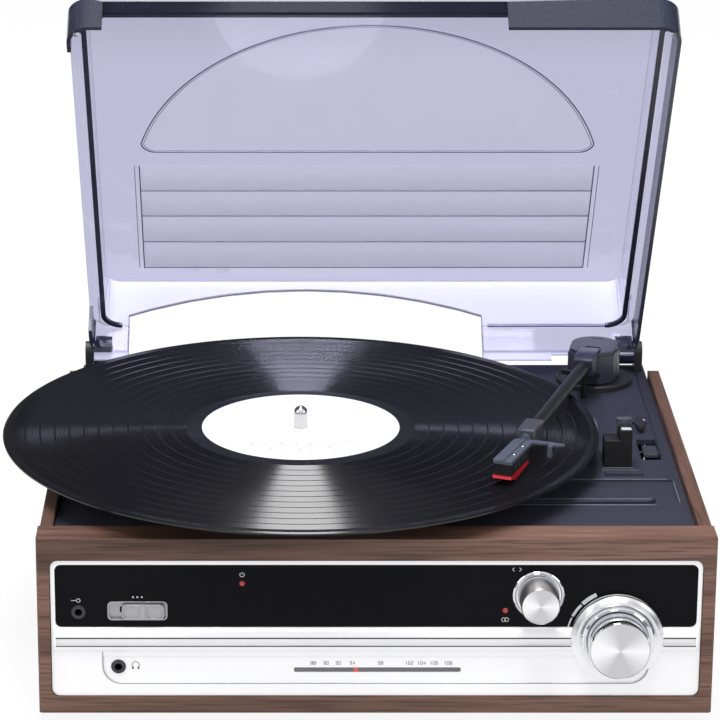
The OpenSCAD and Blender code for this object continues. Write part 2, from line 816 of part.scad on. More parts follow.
module tuning_knob() {
    r = tuning_d / 2;
    shaft_l = 24;
    color([0.85, 0.85, 0.87]) out_of_fascia(tuning_x, y_window - 1.2, z_tuning) {
        rotate_extrude() polygon([
            [0, 0], [r, 0], [r - 0.2, 1.4], [r - 0.6, 2.4], [r - 0.8, tuning_len - 1.2],
            [r - 1.2, tuning_len], [0, tuning_len - 0.2]]);
        translate([0, 0, -shaft_l]) cylinder(d = shaft_d, h = shaft_l + eps);
    }
}

drum_t = 3;
module cord_drum() {
    r = drum_r + 1;
    behind = 4.5;
    color("ivory") out_of_fascia(tuning_x, y_fascia_back + behind + drum_t, z_tuning) difference() {
        rotate_extrude() polygon([
            [shaft_d / 2 - 1, 0], [r, 0], [r, 0.8], [drum_r, 1.1], [drum_r, drum_t - 1.1],
            [r, drum_t - 0.8], [r, drum_t], [shaft_d / 2 - 1, drum_t]]);
        translate([0, 0, -through]) cylinder(d = shaft_d, h = drum_t + 2 * through);
    }
}

module dial_pointer() {
    y0 = y_fascia + dial_skin + fit;
    color("red") translate([pointer_x, 0, 0]) {
        block(1.6, y0, y_fascia_back - fit, z_dial - 5, z_dial + 0.9);
        block(1, y0, y_fascia_back + 4, z_dial - 4.9, z_dial - 3.9);
    }
}

module bearing_bush() {
    flange_z = shaft_low - deck_t - 13.5;
    color("goldenrod") translate([platter_x, platter_y, z_deck - shaft_low]) difference() {
        union() {
            cylinder(d = bush_d, h = shaft_low);
            translate([0, 0, flange_z]) cylinder(d = bush_d + 4, h = 1.5);
        }
        translate([0, 0, 2]) cylinder(d = bearing_d + 2 * run, h = shaft_low);
    }
}

// Shaft through the bearing and the platter, a cone inside the record's hole, and the domed tip.
module spindle() {
    low = z_deck - shaft_low + 2.2;
    shoulder = z_record + 0.2;
    dome_r = spindle_d / 2;
    dome_z = z_record + spindle_h - dome_r;
    color("silver") translate([platter_x, platter_y, 0]) rotate_extrude() polygon(concat(
        [[0, low], [bearing_d / 2, low], [bearing_d / 2, z_record_low], [dome_r, shoulder]],
        [for (a = [0 : 15 : 90]) [dome_r * cos(a), dome_z + dome_r * sin(a)]]));
}

module platter() {
    bore = bearing_d / 2 + run;
    hub_r = 14;
    rim_t = 3;
    wall = 2;
    low = z_platter_low;
    under = z_mat - platter_t;
    drum = belt_drum_d / 2;
    edge = platter_d / 2;
    color("silver") translate([platter_x, platter_y, 0]) rotate_extrude() polygon([
        [bore, low], [hub_r, low], [hub_r, under - 2], [hub_r + 4, under], [drum - wall, under],
        [drum - wall, low + 1], [drum, low + 1], [drum, under], [edge - rim_t, under], [edge - rim_t, low],
        [edge, low], [edge, z_mat - 1], [edge - 1, z_mat], [bore, z_mat]]);
}

// Rubber mat with a shallow well under the record's label.
module platter_mat() {
    bore = bearing_d / 2 + run;
    edge = platter_d / 2 - 1.5;
    top = z_mat + mat_t;
    well = 0.6;
    well_r = label_d / 2;
    color([0.12, 0.12, 0.12]) translate([platter_x, platter_y, 0]) rotate_extrude() polygon([
        [bore, z_mat], [edge, z_mat], [edge, top], [well_r + 4, top], [well_r + 4, top - well],
        [well_r - 4, top - well], [well_r - 4, top], [bore, top]]);
}

// Vinyl disc: bare lip, lower groove field, run-out and label seat.
module record() {
    r = record_d / 2;
    lip_w = 3;
    groove_drop = 0.35;
    run_out = label_d / 2 + 7;
    color([0.05, 0.05, 0.06]) translate([platter_x, platter_y, 0]) rotate_extrude() polygon([
        [hole_d / 2, z_record_low], [r - 0.8, z_record_low], [r, z_record_low + 0.6], [r, z_record - 0.6],
        [r - 0.8, z_record], [r - lip_w, z_record], [r - lip_w - 1, z_record - groove_drop],
        [run_out, z_record - groove_drop], [run_out - 2, z_record - label_drop],
        [hole_d / 2, z_record - label_drop]]);
}

module record_label() {
    color("white") translate([platter_x, platter_y, z_record - label_drop]) difference() {
        cylinder(d = label_d, h = label_drop);
        translate([0, 0, -through]) cylinder(d = hole_d, h = 3);
    }
}

motor_d = 36;
motor_h = 23.6;
module motor() {
    case_low = z_deck_low - motor_h - 2.4;
    lug_l = 50;
    lug_t = 4;
    color("silver") translate([motor_x, motor_y, case_low]) difference() {
        union() {
            cylinder(d = motor_d, h = motor_h);
            translate([0, 0, motor_h - eps]) cylinder(d = 10, h = 2);
            translate([0, 0, motor_h - 1.6]) block(lug_l, -5, 5, 0, lug_t);
        }
        translate([0, 0, 2]) cylinder(d = motor_shaft_d + 2 * run, h = motor_h + lug_t);
        translate([0, 0, motor_h + 2.1]) cylinder(d = motor_hole_d, h = 9);
    }
}

belt_h = 4.6;
module motor_pulley() {
    r = pulley_d / 2;
    low = pulley_low;
    top = low + belt_h + 0.8;
    color("goldenrod") translate([motor_x, motor_y, 0]) {
        translate([0, 0, z_deck_low - 20]) cylinder(d = motor_shaft_d, h = 24 + deck_t);
        rotate_extrude() polygon([
            [0, low - 1], [r + 1, low - 1], [r, low], [r, top], [r + 1, top + 0.8], [0, top + 0.8]]);
    }
}

module belt_outline(grow) {
    hull() {
        translate([platter_x, platter_y]) circle(r = belt_drum_d / 2 + grow);
        translate([motor_x, motor_y]) circle(r = pulley_d / 2 + grow, $fn = hull_fn);
    }
}
module drive_belt() {
    belt_t = 0.7;
    color([0.15, 0.15, 0.15]) translate([0, 0, pulley_low + 0.4]) linear_extrude(belt_h) difference() {
        belt_outline(fit + belt_t);
        belt_outline(fit);
    }
}

module arm_frame() {
    translate([arm_x, arm_y, z_deck]) rotate([0, 0, -arm_angle]) children();
}

// The arm's own slope, about the cross pivot.
module arm_line() {
    arm_frame() translate([0, 0, pivot_h]) rotate([-arm_rise, 0, 0]) children();
}

module arm_disc() {
    r = arm_disc_d / 2;
    post_h = 8;
    stem_l = deck_t + 6;
    color([0.12, 0.12, 0.13]) translate([arm_x, arm_y, z_deck]) {
        rotate_extrude() polygon([[0, 0], [r, 0], [r, disc_t - 0.8], [r - 0.8, disc_t], [0, disc_t]]);
        cylinder(d = post_d, h = post_h);
        translate([0, 0, -stem_l]) cylinder(d = stem_d, h = stem_l + eps);
    }
}

module housing_outline(inset) {
    w = housing_w / 2 - inset;
    front = inset - housing_front;
    corner = 7;
    union() {
        circle(r = housing_back - inset);
        polygon([
            [corner - w, front], [w - corner, front], [w, front + corner], [w, 0], [-w, 0],
            [-w, front + corner]]);
    }
}

module arm_housing() {
    slot_half = tube_d / 2 + 0.6;
    cap_t = 2;
    floor_t = 3;
    cavity_w = 14;
    cavity_front = -12;
    cavity_back = 9.5;
    slot_back = -6;
    roof_t = 1.2;
    color([0.12, 0.12, 0.13]) arm_frame() difference() {
        union() {
            translate([0, 0, housing_low])
                linear_extrude(housing_top - housing_low - cap_t + eps) housing_outline(0);
            translate([0, 0, housing_top - cap_t]) linear_extrude(cap_t) housing_outline(0.8);
        }
        // room for the arm's tail, open at the front for the tube
        block(cavity_w, cavity_front, cavity_back, housing_low + floor_t, housing_top - roof_t);
        block(2 * slot_half, -2 * housing_front, slot_back, pivot_h - slot_half, housing_top + through);
        translate([-housing_w, 0, pivot_h]) rotate([0, 90, 0])
            cylinder(d = gimbal_d + 2 * run, h = 2 * housing_w);
        translate([0, 0, housing_low - through]) cylinder(d = post_d + 2 * run, h = floor_t + 2 * through);
    }
}

module arm_tube() {
    color([0.12, 0.12, 0.13]) arm_line() {
        translate([0, tail_len, 0]) rotate([90, 0, 0]) cylinder(d = tube_d, h = tail_len + collar_s + 4);
        translate([1 - housing_w / 2, 0, 0]) rotate([0, 90, 0]) cylinder(d = gimbal_d, h = housing_w - 2);
    }
}

module counterweight() {
    color("gray") arm_line() block(10, tail_len, tail_len + 5, -4, 3);
}

// Sleeve at the head end of the tube, flattened on top.
module arm_collar() {
    flat = 0.6;
    color([0.16, 0.16, 0.17]) arm_line() translate([0, -collar_s, 0]) rotate([90, 0, 0]) difference() {
        cylinder(d = arm_collar_d, h = collar_len);
        translate([0, 0, -through]) cylinder(d = tube_d + 0.1, h = 4 + through);
        translate([-arm_collar_d, arm_collar_d / 2 - flat, -through])
            cube([2 * arm_collar_d, flat + through, collar_len + 2 * through]);
    }
}

// Level frame of the head, turned inwards at the end of the arm.
module head_frame() {
    arm_frame() translate([0, -head_s * cos(arm_rise), head_z]) rotate([0, 0, -head_turn]) children();
}

module headshell() {
    neck_x = 2.2;
    half = head_w / 2;
    bevel = 1.5;
    lift_t = 1.2;
    drop = 4.4;
    color([0.2, 0.2, 0.22]) {
        head_frame() {
            translate([0, 0, -head_t]) linear_extrude(head_t) polygon([
                [-neck_x, 1.7], [neck_x, 1.7], [half, -3], [half, -head_len], [bevel - half, -head_len],
                [-half, bevel - head_len], [-half, -3]]);
            block(1.6, -head_len, 0, -eps, 0.5);
            // finger lift at the right of the neck
            translate([0, 0, -head_t]) linear_extrude(lift_t) polygon([
                [2, -3], [2, 1.2], [5, 1.6], [20, 1.2], [20, 0], [15.4, -1.8], [15.2, -5.4],
                [13.4, -5.4], [12.6, -0.8], [6, -2]]);
            translate([14.3, 0, 0]) block(2, -5.4, -3.6, -head_t - drop, -head_t + eps);
        }
        arm_line() translate([0, -collar_s - collar_len, 0]) rotate([90, 0, 0]) cylinder(d = 4.4, h = 3);
    }
}

module cartridge() {
    color([0.06, 0.06, 0.06]) head_frame()
        block(head_w - 1.2, 2 - head_len, -7, -head_t - cartridge_h, -head_t);
}

module stylus_holder() {
    top = -head_t - cartridge_h;
    low = tip_z + 1.2;
    holder_w = head_w - 0.4;
    color("firebrick") head_frame() {
        translate([-holder_w / 2, 0, 0]) rotate([90, 0, 90]) linear_extrude(holder_w) polygon([
            [1 - head_len, top], [-8, top], [-8, top - 1.6], [13 - head_len, low + 0.6], [8 - head_len, low],
            [-head_len, top - 1]]);
        translate([0, -stylus_s, tip_z]) cylinder(d1 = 0.4, d2 = 1.2, h = 1.3 + eps);
        translate([0, -stylus_s, 0]) block(2, -3, 4, low, top - 1);
    }
}

// Block with a stop for the parked tube and a hook under it.
module arm_rest() {
    tongue_x = rest_x + 2.1;
    tongue_w = 4.6;
    tongue_t = 6;
    z_round = z_deck + 24 - tongue_w / 2;
    z_hook = z_deck + 21.9;
    hook_t = 1.4;
    color([0.1, 0.1, 0.11]) translate([0, rest_y, 0]) {
        box(rest_x, rest_x + rest_w, 0, rest_l, z_deck + step_t, z_deck + rest_h);
        box(rest_x + 0.8, rest_x + rest_w - 0.8, -1, eps, z_deck + step_t, z_deck + step_t + 1.8);
        translate([tongue_x + tongue_w / 2, through, 0]) {
            block(tongue_w, 0, tongue_t, z_deck + rest_h - eps, z_round);
            translate([0, tongue_t, z_round]) rotate([90, 0, 0]) cylinder(d = tongue_w, h = tongue_t);
        }
        box(tongue_x - 7, tongue_x + 1, 3, 6, z_hook - hook_t, z_hook);
    }
}

module cue_lever() {
    axle_l = 11.8;
    lever_w = 7.2;
    color([0.2, 0.2, 0.21]) translate([cue_x, cue_y, 0]) {
        translate([0, 0, z_deck - cue_axle_drop]) rotate([0, 90, 0]) {
            cylinder(d = cue_axle_d, h = axle_l, center = true);
            cylinder(d = cue_axle_d + 1, h = 6, center = true);
        }
        block(6, -1.3, 1.3, z_deck - cue_axle_drop, z_deck + 0.8);
        block(lever_w, -13, 1.3, z_deck + 0.3, z_deck + 1.8);
    }
}

module lift_bar() {
    bar_t = 2.4;
    top = pivot_h + lift_r * sin(arm_rise) - tube_d / 2 - fit;
    rod_low = -deck_t - 4;
    color([0.1, 0.1, 0.1]) arm_frame() {
        translate([0, 0, top - bar_t]) rotate([0, 0, -114]) rotate_extrude(angle = 40)
            translate([lift_r - bar_t / 2, 0]) square(bar_t);
        translate([0, -lift_r, rod_low]) cylinder(d = lift_rod_d, h = top - rod_low - 1);
    }
}

module speed_lever() {
    paddle_l = 16;
    paddle_w = 5.2;
    color([0.12, 0.12, 0.13]) translate([speed_x, speed_y, 0]) {
        block(1.8, -1.2, 1.2, z_deck_low - 3, z_deck + 1.4);
        translate([0, 0, z_deck + 1.3]) linear_extrude(2) polygon([
            [-1.2, 1.4], [1.2, 1.4], [paddle_w / 2, -paddle_l / 2], [0.8, -paddle_l], [-0.8, -paddle_l],
            [-paddle_w / 2, -paddle_l / 2]]);
    }
}

module opened() {
    translate([0, hinge_y, z_hinge]) rotate([-open_angle, 0, 0])
        translate([0, -hinge_y, -z_hinge]) children();
}

// Rounded slab of the closed cover, from one height above its rim.
module cover_slab(w, y0, y1, r, b, t = eps) {
    translate([0, 0, z_cover + b]) linear_extrude(t) hull()
        for (x = [r - w / 2, w / 2 - r], y = [y0 + r, y1 - r]) translate([x, y]) circle(r = r, $fn = hull_fn);
}

// Sloped hood above the ledge: grown by the wall outside, bare inside.
module cover_hood(wall, low) {
    w = cover_w - 2 * ledge_w + 2 * wall;
    y0 = cover_front_y + ledge_w + cover_t - wall;
    y1 = cover_rear_y - cover_t + wall;
    hull() {
        cover_slab(w, y0, y1, cover_r - 2, low);
        cover_slab(w - 2 * side_slope, y0 + front_slope, y1 - rear_slope, cover_r - 3, cover_h + wall);
    }
}

module dust_cover() {
    left = -cover_w / 2;
    room_h = ledge_h + 1;
    color([0.45, 0.45, 0.6, 0.5]) opened() difference() {
        union() {
            cover_hood(cover_t, ledge_h);
            cover_slab(cover_w, cover_front_y, cover_rear_y, cover_r, 0, ledge_h + cover_t);
        }
        cover_hood(0, ledge_h - 2);
        cover_slab(cover_w - 2 * cover_t, cover_front_y + cover_t, cover_rear_y - cover_t, cover_r - cover_t,
            -through, room_h);
        // room for the record, which is wider than the cabinet
        translate([0, 0, z_cover - through]) {
            box(gap_left, gap_right, cover_front_y - through, cover_front_y + cover_r, 0, room_h);
            box(left - through, left + cover_r, cover_front_y + leg_l, cover_rear_y - flare_l, 0, room_h);
        }
        intersection() {
            box(gap_left + 3.3, gap_right, cover_rear_y - 14, cover_rear_y + 6, z_cover - through,
                z_cover + cover_h);
            translate([arch_x, cover_rear_y + 6, z_cover + arch_top - arch_r]) rotate([90, 0, 0])
                cylinder(r = arch_r, h = 20);
        }
    }
}

module cover_bumpers() {
    bumper_d = 2.2;
    bumper_h = 1.2;
    inset = 4.6;
    color("lightgray") opened() for (side = [-1, 1])
        translate([side * (cover_w / 2 - inset), cover_front_y + inset, z_cover - bumper_h])
            cylinder(d = bumper_d, h = bumper_h);
}

module hinge_knuckles() {
    color([0.15, 0.15, 0.2]) opened() for (side = [-1, 1])
        translate([side * (knuckle_x + knuckle_w / 2), hinge_y, z_hinge]) rotate([0, 90, 0]) difference() {
            cylinder(r = knuckle_r, h = knuckle_w, center = true);
            cylinder(d = pin_d + 2 * run, h = knuckle_w + 2 * through, center = true);
        }
}

module hinge_cheeks() {
    cheek_r = 5;
    cheek_x = knuckle_x + knuckle_w + fit;
    pin_l = knuckle_w + fit + 1;
    color([0.12, 0.12, 0.13]) for (side = [-1, 1])
        translate([side * (cheek_x + cheek_w / 2), hinge_y, 0]) {
        block(cheek_w, -cheek_r, cheek_r, z_deck, z_hinge);
        translate([0, 0, z_hinge]) rotate([0, 90, 0]) cylinder(r = cheek_r, h = cheek_w, center = true);
        translate([-side * (cheek_w / 2 + pin_l / 2 - 0.5), 0, z_hinge]) rotate([0, 90, 0])
            cylinder(d = pin_d, h = pin_l, center = true);
    }
}

placed() front_board();
placed() side_board(-1);  // side_board_left
placed() side_board(1);  // side_board_right
placed() bottom_panel();
placed() rear_shell();
placed() feet();
placed() case_screws();
placed() deck();
placed() fascia_frame();
placed() fascia_window();
placed() dial_scale();
placed() volume_collar();
placed() volume_bezel();
placed() tuning_bezel();
placed() switch_plate();
placed() light(power_light_x, z_power_light);  // power_light
placed() light(stereo_light_x, z_stereo_light);  // stereo_light
placed() socket(aux_x, z_aux, y_window);  // aux_socket
placed() socket(phones_x, z_phones, y_fascia + 0.6);  // headphone_socket
placed() line_sockets();
placed() power_inlet();
placed() main_board();
placed() transformer();
placed() volume_control();
placed() tuning_capacitor();
placed() motor();
placed() bearing_bush();
placed() arm_disc();
placed() arm_rest();
placed() speakers();
placed() hinge_cheeks();
placed() platter();
placed() platter_mat();
placed() record();
placed() record_label();
placed() spindle();
placed() motor_pulley();
placed() drive_belt();
placed() dust_cover();
placed() cover_bumpers();
placed() hinge_knuckles();
placed() arm_housing();
placed() arm_tube();
placed() counterweight();
placed() arm_collar();
placed() headshell();
placed() cartridge();
placed() stylus_holder();
placed() cue_lever();
placed() lift_bar();
placed() speed_lever();
placed() function_slide();
placed() volume_knob();
placed() tuning_knob();
placed() cord_drum();
placed() dial_pointer();
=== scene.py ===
import json
import math
import bpy
from mathutils import Matrix, Vector


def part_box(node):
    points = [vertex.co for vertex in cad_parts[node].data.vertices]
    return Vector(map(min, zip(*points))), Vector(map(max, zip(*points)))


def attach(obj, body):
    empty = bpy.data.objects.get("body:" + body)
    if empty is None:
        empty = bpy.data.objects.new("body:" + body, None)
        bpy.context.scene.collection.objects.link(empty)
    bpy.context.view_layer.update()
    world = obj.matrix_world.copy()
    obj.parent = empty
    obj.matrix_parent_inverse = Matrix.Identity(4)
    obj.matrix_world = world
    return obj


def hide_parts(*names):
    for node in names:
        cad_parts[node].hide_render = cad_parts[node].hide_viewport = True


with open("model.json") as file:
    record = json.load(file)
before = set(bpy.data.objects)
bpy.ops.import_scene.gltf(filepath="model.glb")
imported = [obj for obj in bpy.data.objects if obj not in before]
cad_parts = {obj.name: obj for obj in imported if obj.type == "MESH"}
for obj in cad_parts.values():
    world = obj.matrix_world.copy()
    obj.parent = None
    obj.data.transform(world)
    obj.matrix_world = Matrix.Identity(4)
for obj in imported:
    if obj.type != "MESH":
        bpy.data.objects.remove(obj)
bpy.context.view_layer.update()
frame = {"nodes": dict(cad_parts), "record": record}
NODES = frame["nodes"]
MM = 0.001
STEPS = 288


# The scene is drawn in millimetres about the middle of the wooden cabinet, as the part is
board_low, board_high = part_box("front_board")
cabinet_half_d = 127.0
shift = Vector(((board_low.x + board_high.x) / 2, board_low.y + cabinet_half_d * MM, 0.0))


def middle(node):
    """Middle of a CAD node in the drawing's millimetres."""
    low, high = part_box(node)
    return ((low + high) / 2 - shift) / MM


def low_of(node):
    return (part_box(node)[0] - shift) / MM


def high_of(node):
    return (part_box(node)[1] - shift) / MM


# Places taken from the part. The window and the lower field lie a little behind the fascia's face,
# and the post of the arm disc stands on the deck
window_inset = 0.4
field_inset = 0.6
post_h = 8.0
window_y = low_of("fascia_window").y
fascia_y = low_of("fascia_window").y - window_inset
field_y = fascia_y + field_inset
deck_z = high_of("arm_disc").z - post_h
record_mid = middle("record")
record_z = high_of("record").z
record_r = (high_of("record").x - low_of("record").x) / 2
label_r = (high_of("record_label").x - low_of("record_label").x) / 2
volume_mid = middle("volume_knob")
tuning_mid = middle("tuning_knob")
arm_at = middle("arm_disc")
rest_low = low_of("arm_rest")
rest_high = high_of("arm_rest")

# Arm: turn over the deck, slope of the tube, height of the pivot, length to the head and turn of the head
arm_angle = 15.9
arm_rise = 4.0
pivot_h = 16.0
head_s = 184.0
head_turn = 6.5

# Dust cover: its rear rim, height, half width, ledge inside the rim, hinge line and opening
cover_rear_y = 139.0
cover_z = 97.3
cover_top = 42.0
cover_half = 149.5
ledge_b = 17.0
hinge_y = 142.4
hinge_z = 101.8
open_angle = 55.0


# Frames to draw in
def turn(degrees, axis):
    return Matrix.Rotation(math.radians(degrees), 4, axis)


def move(x, y, z):
    return Matrix.Translation((x, y, z))


def on_front(x, z, y):
    """Local X to the right, local Y up and local Z out of the fascia."""
    return move(x, y, z) @ turn(90, "X")


UPRIGHT = Matrix.Identity(4)
ARM = move(arm_at.x, arm_at.y, deck_z) @ turn(-arm_angle, "Z")
ARM_LINE = ARM @ move(0, 0, pivot_h) @ turn(-arm_rise, "X")
slope = math.radians(arm_rise)
head_z = pivot_h + head_s * math.sin(slope)
HEAD = ARM @ move(0, -head_s * math.cos(slope), head_z) @ turn(-head_turn, "Z")
LID = move(0, hinge_y, hinge_z) @ turn(-open_angle, "X") @ move(0, -hinge_y, -hinge_z)
# Here Y runs forward from the rear rim and Z away from the rim towards the panel
PANEL = LID @ move(0, cover_rear_y, cover_z) @ Matrix.Diagonal((1, -1, 1, 1))


# Materials

def new_material(name):
    """Material with a plain shader on its output."""
    material = bpy.data.materials.new(name)
    material.use_nodes = True
    nodes = material.node_tree.nodes
    nodes.clear()
    output = nodes.new("ShaderNodeOutputMaterial")
    shader = nodes.new("ShaderNodeBsdfPrincipled")
    material.node_tree.links.new(shader.outputs["BSDF"], output.inputs["Surface"])
    return material, nodes, material.node_tree.links, shader


def noise_source(nodes, links, scale, stretch=(1, 1, 1), detail=3.0):
    """Noise in the part's own coordinates, drawn out along the axes by stretch."""
    where = nodes.new("ShaderNodeTexCoord")
    mapping = nodes.new("ShaderNodeMapping")
    mapping.inputs["Scale"].default_value = stretch
    noise = nodes.new("ShaderNodeTexNoise")
    noise.inputs["Scale"].default_value = scale
    noise.inputs["Detail"].default_value = detail
    links.new(where.outputs["Object"], mapping.inputs["Vector"])
    links.new(mapping.outputs["Vector"], noise.inputs["Vector"])
    return noise.outputs["Fac"]


def ramp(nodes, links, source, stops):
    """Colour that follows a value, through stops of (place, colour)."""
    shades = nodes.new("ShaderNodeValToRGB")
    elements = shades.color_ramp.elements
    while len(elements) < len(stops):
        elements.new(0.5)
    for element, (place, colour) in zip(elements, stops):
        element.position = place
        element.color = (*colour, 1.0)
    links.new(source, shades.inputs["Fac"])
    return shades.outputs["Color"]


def spread(nodes, links, source, low, high):
    """A value from 0 to 1, spread from low to high."""
    fit = nodes.new("ShaderNodeMapRange")
    fit.inputs["To Min"].default_value = low
    fit.inputs["To Max"].default_value = high
    links.new(source, fit.inputs["Value"])
    return fit.outputs["Result"]


def height_in_part(nodes, links):
    """Height within the part's own box, from 0 at its foot to 1 at its top."""
    where = nodes.new("ShaderNodeTexCoord")
    split = nodes.new("ShaderNodeSeparateXYZ")
    links.new(where.outputs["Generated"], split.inputs["Vector"])
    return split.outputs["Z"]


def mixed(nodes, links, first, second):
    """Puts a mix of two shaders on the material's output and gives back the input for the second's share."""
    mix = nodes.new("ShaderNodeMixShader")
    links.new(first, mix.inputs[1])
    links.new(second, mix.inputs[2])
    output = next(n for n in nodes if n.type == "OUTPUT_MATERIAL")
    links.new(mix.outputs["Shader"], output.inputs["Surface"])
    return mix.inputs["Fac"]


def surface_normal(nodes, links, shader, edge, source=None, strength=0.0, depth=0.00006):
    """Edges rounded by a small radius, with a fine relief on top."""
    normal = None
    if edge:
        bevel = nodes.new("ShaderNodeBevel")
        bevel.samples = 4
        bevel.inputs["Radius"].default_value = edge
        normal = bevel.outputs["Normal"]
    if source and strength:
        bump = nodes.new("ShaderNodeBump")
        bump.inputs["Strength"].default_value = strength
        bump.inputs["Distance"].default_value = depth
        links.new(source, bump.inputs["Height"])
        if normal:
            links.new(normal, bump.inputs["Normal"])
        normal = bump.outputs["Normal"]
    if normal:
        links.new(normal, shader.inputs["Normal"])


def plain(name, colour, rough, metal=0.0, change=0.12, scale=90.0, stretch=(1, 1, 1), bump=0.0,
          specular=0.5, edge=0.0, grain=1600.0):
    """A moulded, painted or metal finish whose colour and polish vary a little over the surface."""
    material, nodes, links, shader = new_material(name)
    noise = noise_source(nodes, links, scale, stretch)
    low = tuple(c * (1 - change) for c in colour)
    high = tuple(min(1.0, c * (1 + change)) for c in colour)
    links.new(ramp(nodes, links, noise, [(0.3, low), (0.7, high)]), shader.inputs["Base Color"])
    links.new(spread(nodes, links, noise, max(0.02, rough * 0.8), min(1.0, rough * 1.2)),
              shader.inputs["Roughness"])
    shader.inputs["Metallic"].default_value = metal
    shader.inputs["Specular IOR Level"].default_value = specular
    fine = noise_source(nodes, links, grain, stretch, 1.0) if bump else None
    surface_normal(nodes, links, shader, edge, fine, bump)
    return material


def spun(name, colour, painted_shade_fall):
    """Spun metal disc facing forwards, with a painted highlight fanning out bright to both sides and painted
    shade up and down.
    """
    material, nodes, links, shader = new_material(name)
    where = nodes.new("ShaderNodeTexCoord")
    mapping = nodes.new("ShaderNodeMapping")
    mapping.inputs["Rotation"].default_value = (math.pi / 2, 0, 0)
    mapping.inputs["Location"].default_value = (-0.5, 0.5, 0)
    fan = nodes.new("ShaderNodeTexGradient")
    fan.gradient_type = "RADIAL"
    links.new(where.outputs["Generated"], mapping.inputs["Vector"])
    links.new(mapping.outputs["Vector"], fan.inputs["Vector"])
    # painted shade: the wedges up and down are darkened, and the sides keep the full colour as a painted
    # highlight
    dark = tuple(c * painted_shade_fall for c in colour)
    links.new(ramp(nodes, links, fan.outputs["Fac"],
                   [(0.05, colour), (0.22, dark), (0.36, dark), (0.50, colour), (0.68, dark), (0.82, dark),
                    (0.97, colour)]), shader.inputs["Base Color"])
    fine = noise_source(nodes, links, 500.0)
    links.new(spread(nodes, links, fine, 0.3, 0.42), shader.inputs["Roughness"])
    shader.inputs["Metallic"].default_value = 1.0
    return material


def wood(name, along, depth):
    """Dark walnut veneer whose grain runs along one axis, in a lighter or deeper shade."""
    material, nodes, links, shader = new_material(name)
    figure_draw, pore_draw = 0.05, 0.03
    figure_stretch = tuple(figure_draw if axis == along else 1.0 for axis in range(3))
    pore_stretch = tuple(pore_draw if axis == along else 1.0 for axis in range(3))
    figure = noise_source(nodes, links, 70.0, figure_stretch, 4.0)
    pores = noise_source(nodes, links, 800.0, pore_stretch, 2.0)
    tones = [(0.30, (0.050, 0.024, 0.017)), (0.46, (0.105, 0.054, 0.038)), (0.58, (0.155, 0.085, 0.062)),
             (0.74, (0.080, 0.040, 0.028))]
    base = ramp(nodes, links, figure, [(place, tuple(c * depth for c in tone)) for place, tone in tones])
    lines = ramp(nodes, links, pores, [(0.36, (0.40, 0.38, 0.38)), (0.52, (1, 1, 1))])
    mix = nodes.new("ShaderNodeMix")
    mix.data_type = "RGBA"
    mix.blend_type = "MULTIPLY"
    mix.inputs["Factor"].default_value = 0.75
    links.new(base, mix.inputs["A"])
    links.new(lines, mix.inputs["B"])
    links.new(mix.outputs["Result"], shader.inputs["Base Color"])
    links.new(spread(nodes, links, pores, 0.36, 0.55), shader.inputs["Roughness"])
    shader.inputs["Specular IOR Level"].default_value = 0.35
    surface_normal(nodes, links, shader, 0.0006, pores, 0.3, 0.00005)
    return material


def clear(name, tint, rough=0.02, change=0.05, gloss=0.5):
    """Clear tinted plastic, with painted shade that deepens the tint towards the top. Lamps shine through it
    with only a tinted shadow.
    """
    material, nodes, links, shader = new_material(name)
    noise = noise_source(nodes, links, 25.0)
    # painted shade: the tint darkens over the top fifth of the part
    painted_shade_tint = tuple(c * (1 - change) for c in tint)
    height = height_in_part(nodes, links)
    links.new(ramp(nodes, links, height, [(0.8, tint), (1.0, painted_shade_tint)]), shader.inputs["Base Color"])
    links.new(spread(nodes, links, noise, rough, rough * 1.5), shader.inputs["Roughness"])
    shader.inputs["Transmission Weight"].default_value = 1.0
    shader.inputs["Specular IOR Level"].default_value = gloss
    shader.inputs["IOR"].default_value = 1.45
    through = nodes.new("ShaderNodeBsdfTransparent")
    through.inputs["Color"].default_value = (*(math.sqrt(c) for c in tint), 1.0)
    path = nodes.new("ShaderNodeLightPath")
    share = mixed(nodes, links, shader.outputs["BSDF"], through.outputs["BSDF"])
    links.new(path.outputs["Is Shadow Ray"], share)
    return material


def film(name, tint, haze, painted_foot_shade=False):
    """Thin clear plastic that adds a little pale haze, and may carry painted shade, darker towards its foot.
    """
    material, nodes, links, shader = new_material(name)
    through = nodes.new("ShaderNodeBsdfTransparent")
    if painted_foot_shade:
        # painted shade, darker towards the foot of the part
        low = tuple(c * 0.90 for c in tint)
        height = height_in_part(nodes, links)
        links.new(ramp(nodes, links, height, [(0.0, low), (0.75, tint)]), through.inputs["Color"])
    else:
        noise = noise_source(nodes, links, 25.0)
        low = tuple(c * 0.99 for c in tint)
        links.new(ramp(nodes, links, noise, [(0.35, low), (0.65, tint)]), through.inputs["Color"])
    shader.inputs["Base Color"].default_value = (0.8, 0.8, 0.9, 1.0)
    shader.inputs["Roughness"].default_value = 0.6
    mixed(nodes, links, through.outputs["BSDF"], shader.outputs["BSDF"]).default_value = haze
    return material


def glowing(name, colour, strength):
    """Small lit lens whose brightness varies a little at random."""
    material, nodes, links, shader = new_material(name)
    noise = noise_source(nodes, links, 900.0)
    low = tuple(c * 0.5 for c in colour)
    shade = ramp(nodes, links, noise, [(0.3, low), (0.7, colour)])
    links.new(shade, shader.inputs["Base Color"])
    links.new(shade, shader.inputs["Emission Color"])
    shader.inputs["Roughness"].default_value = 0.2
    shader.inputs["Emission Strength"].default_value = strength
    return material


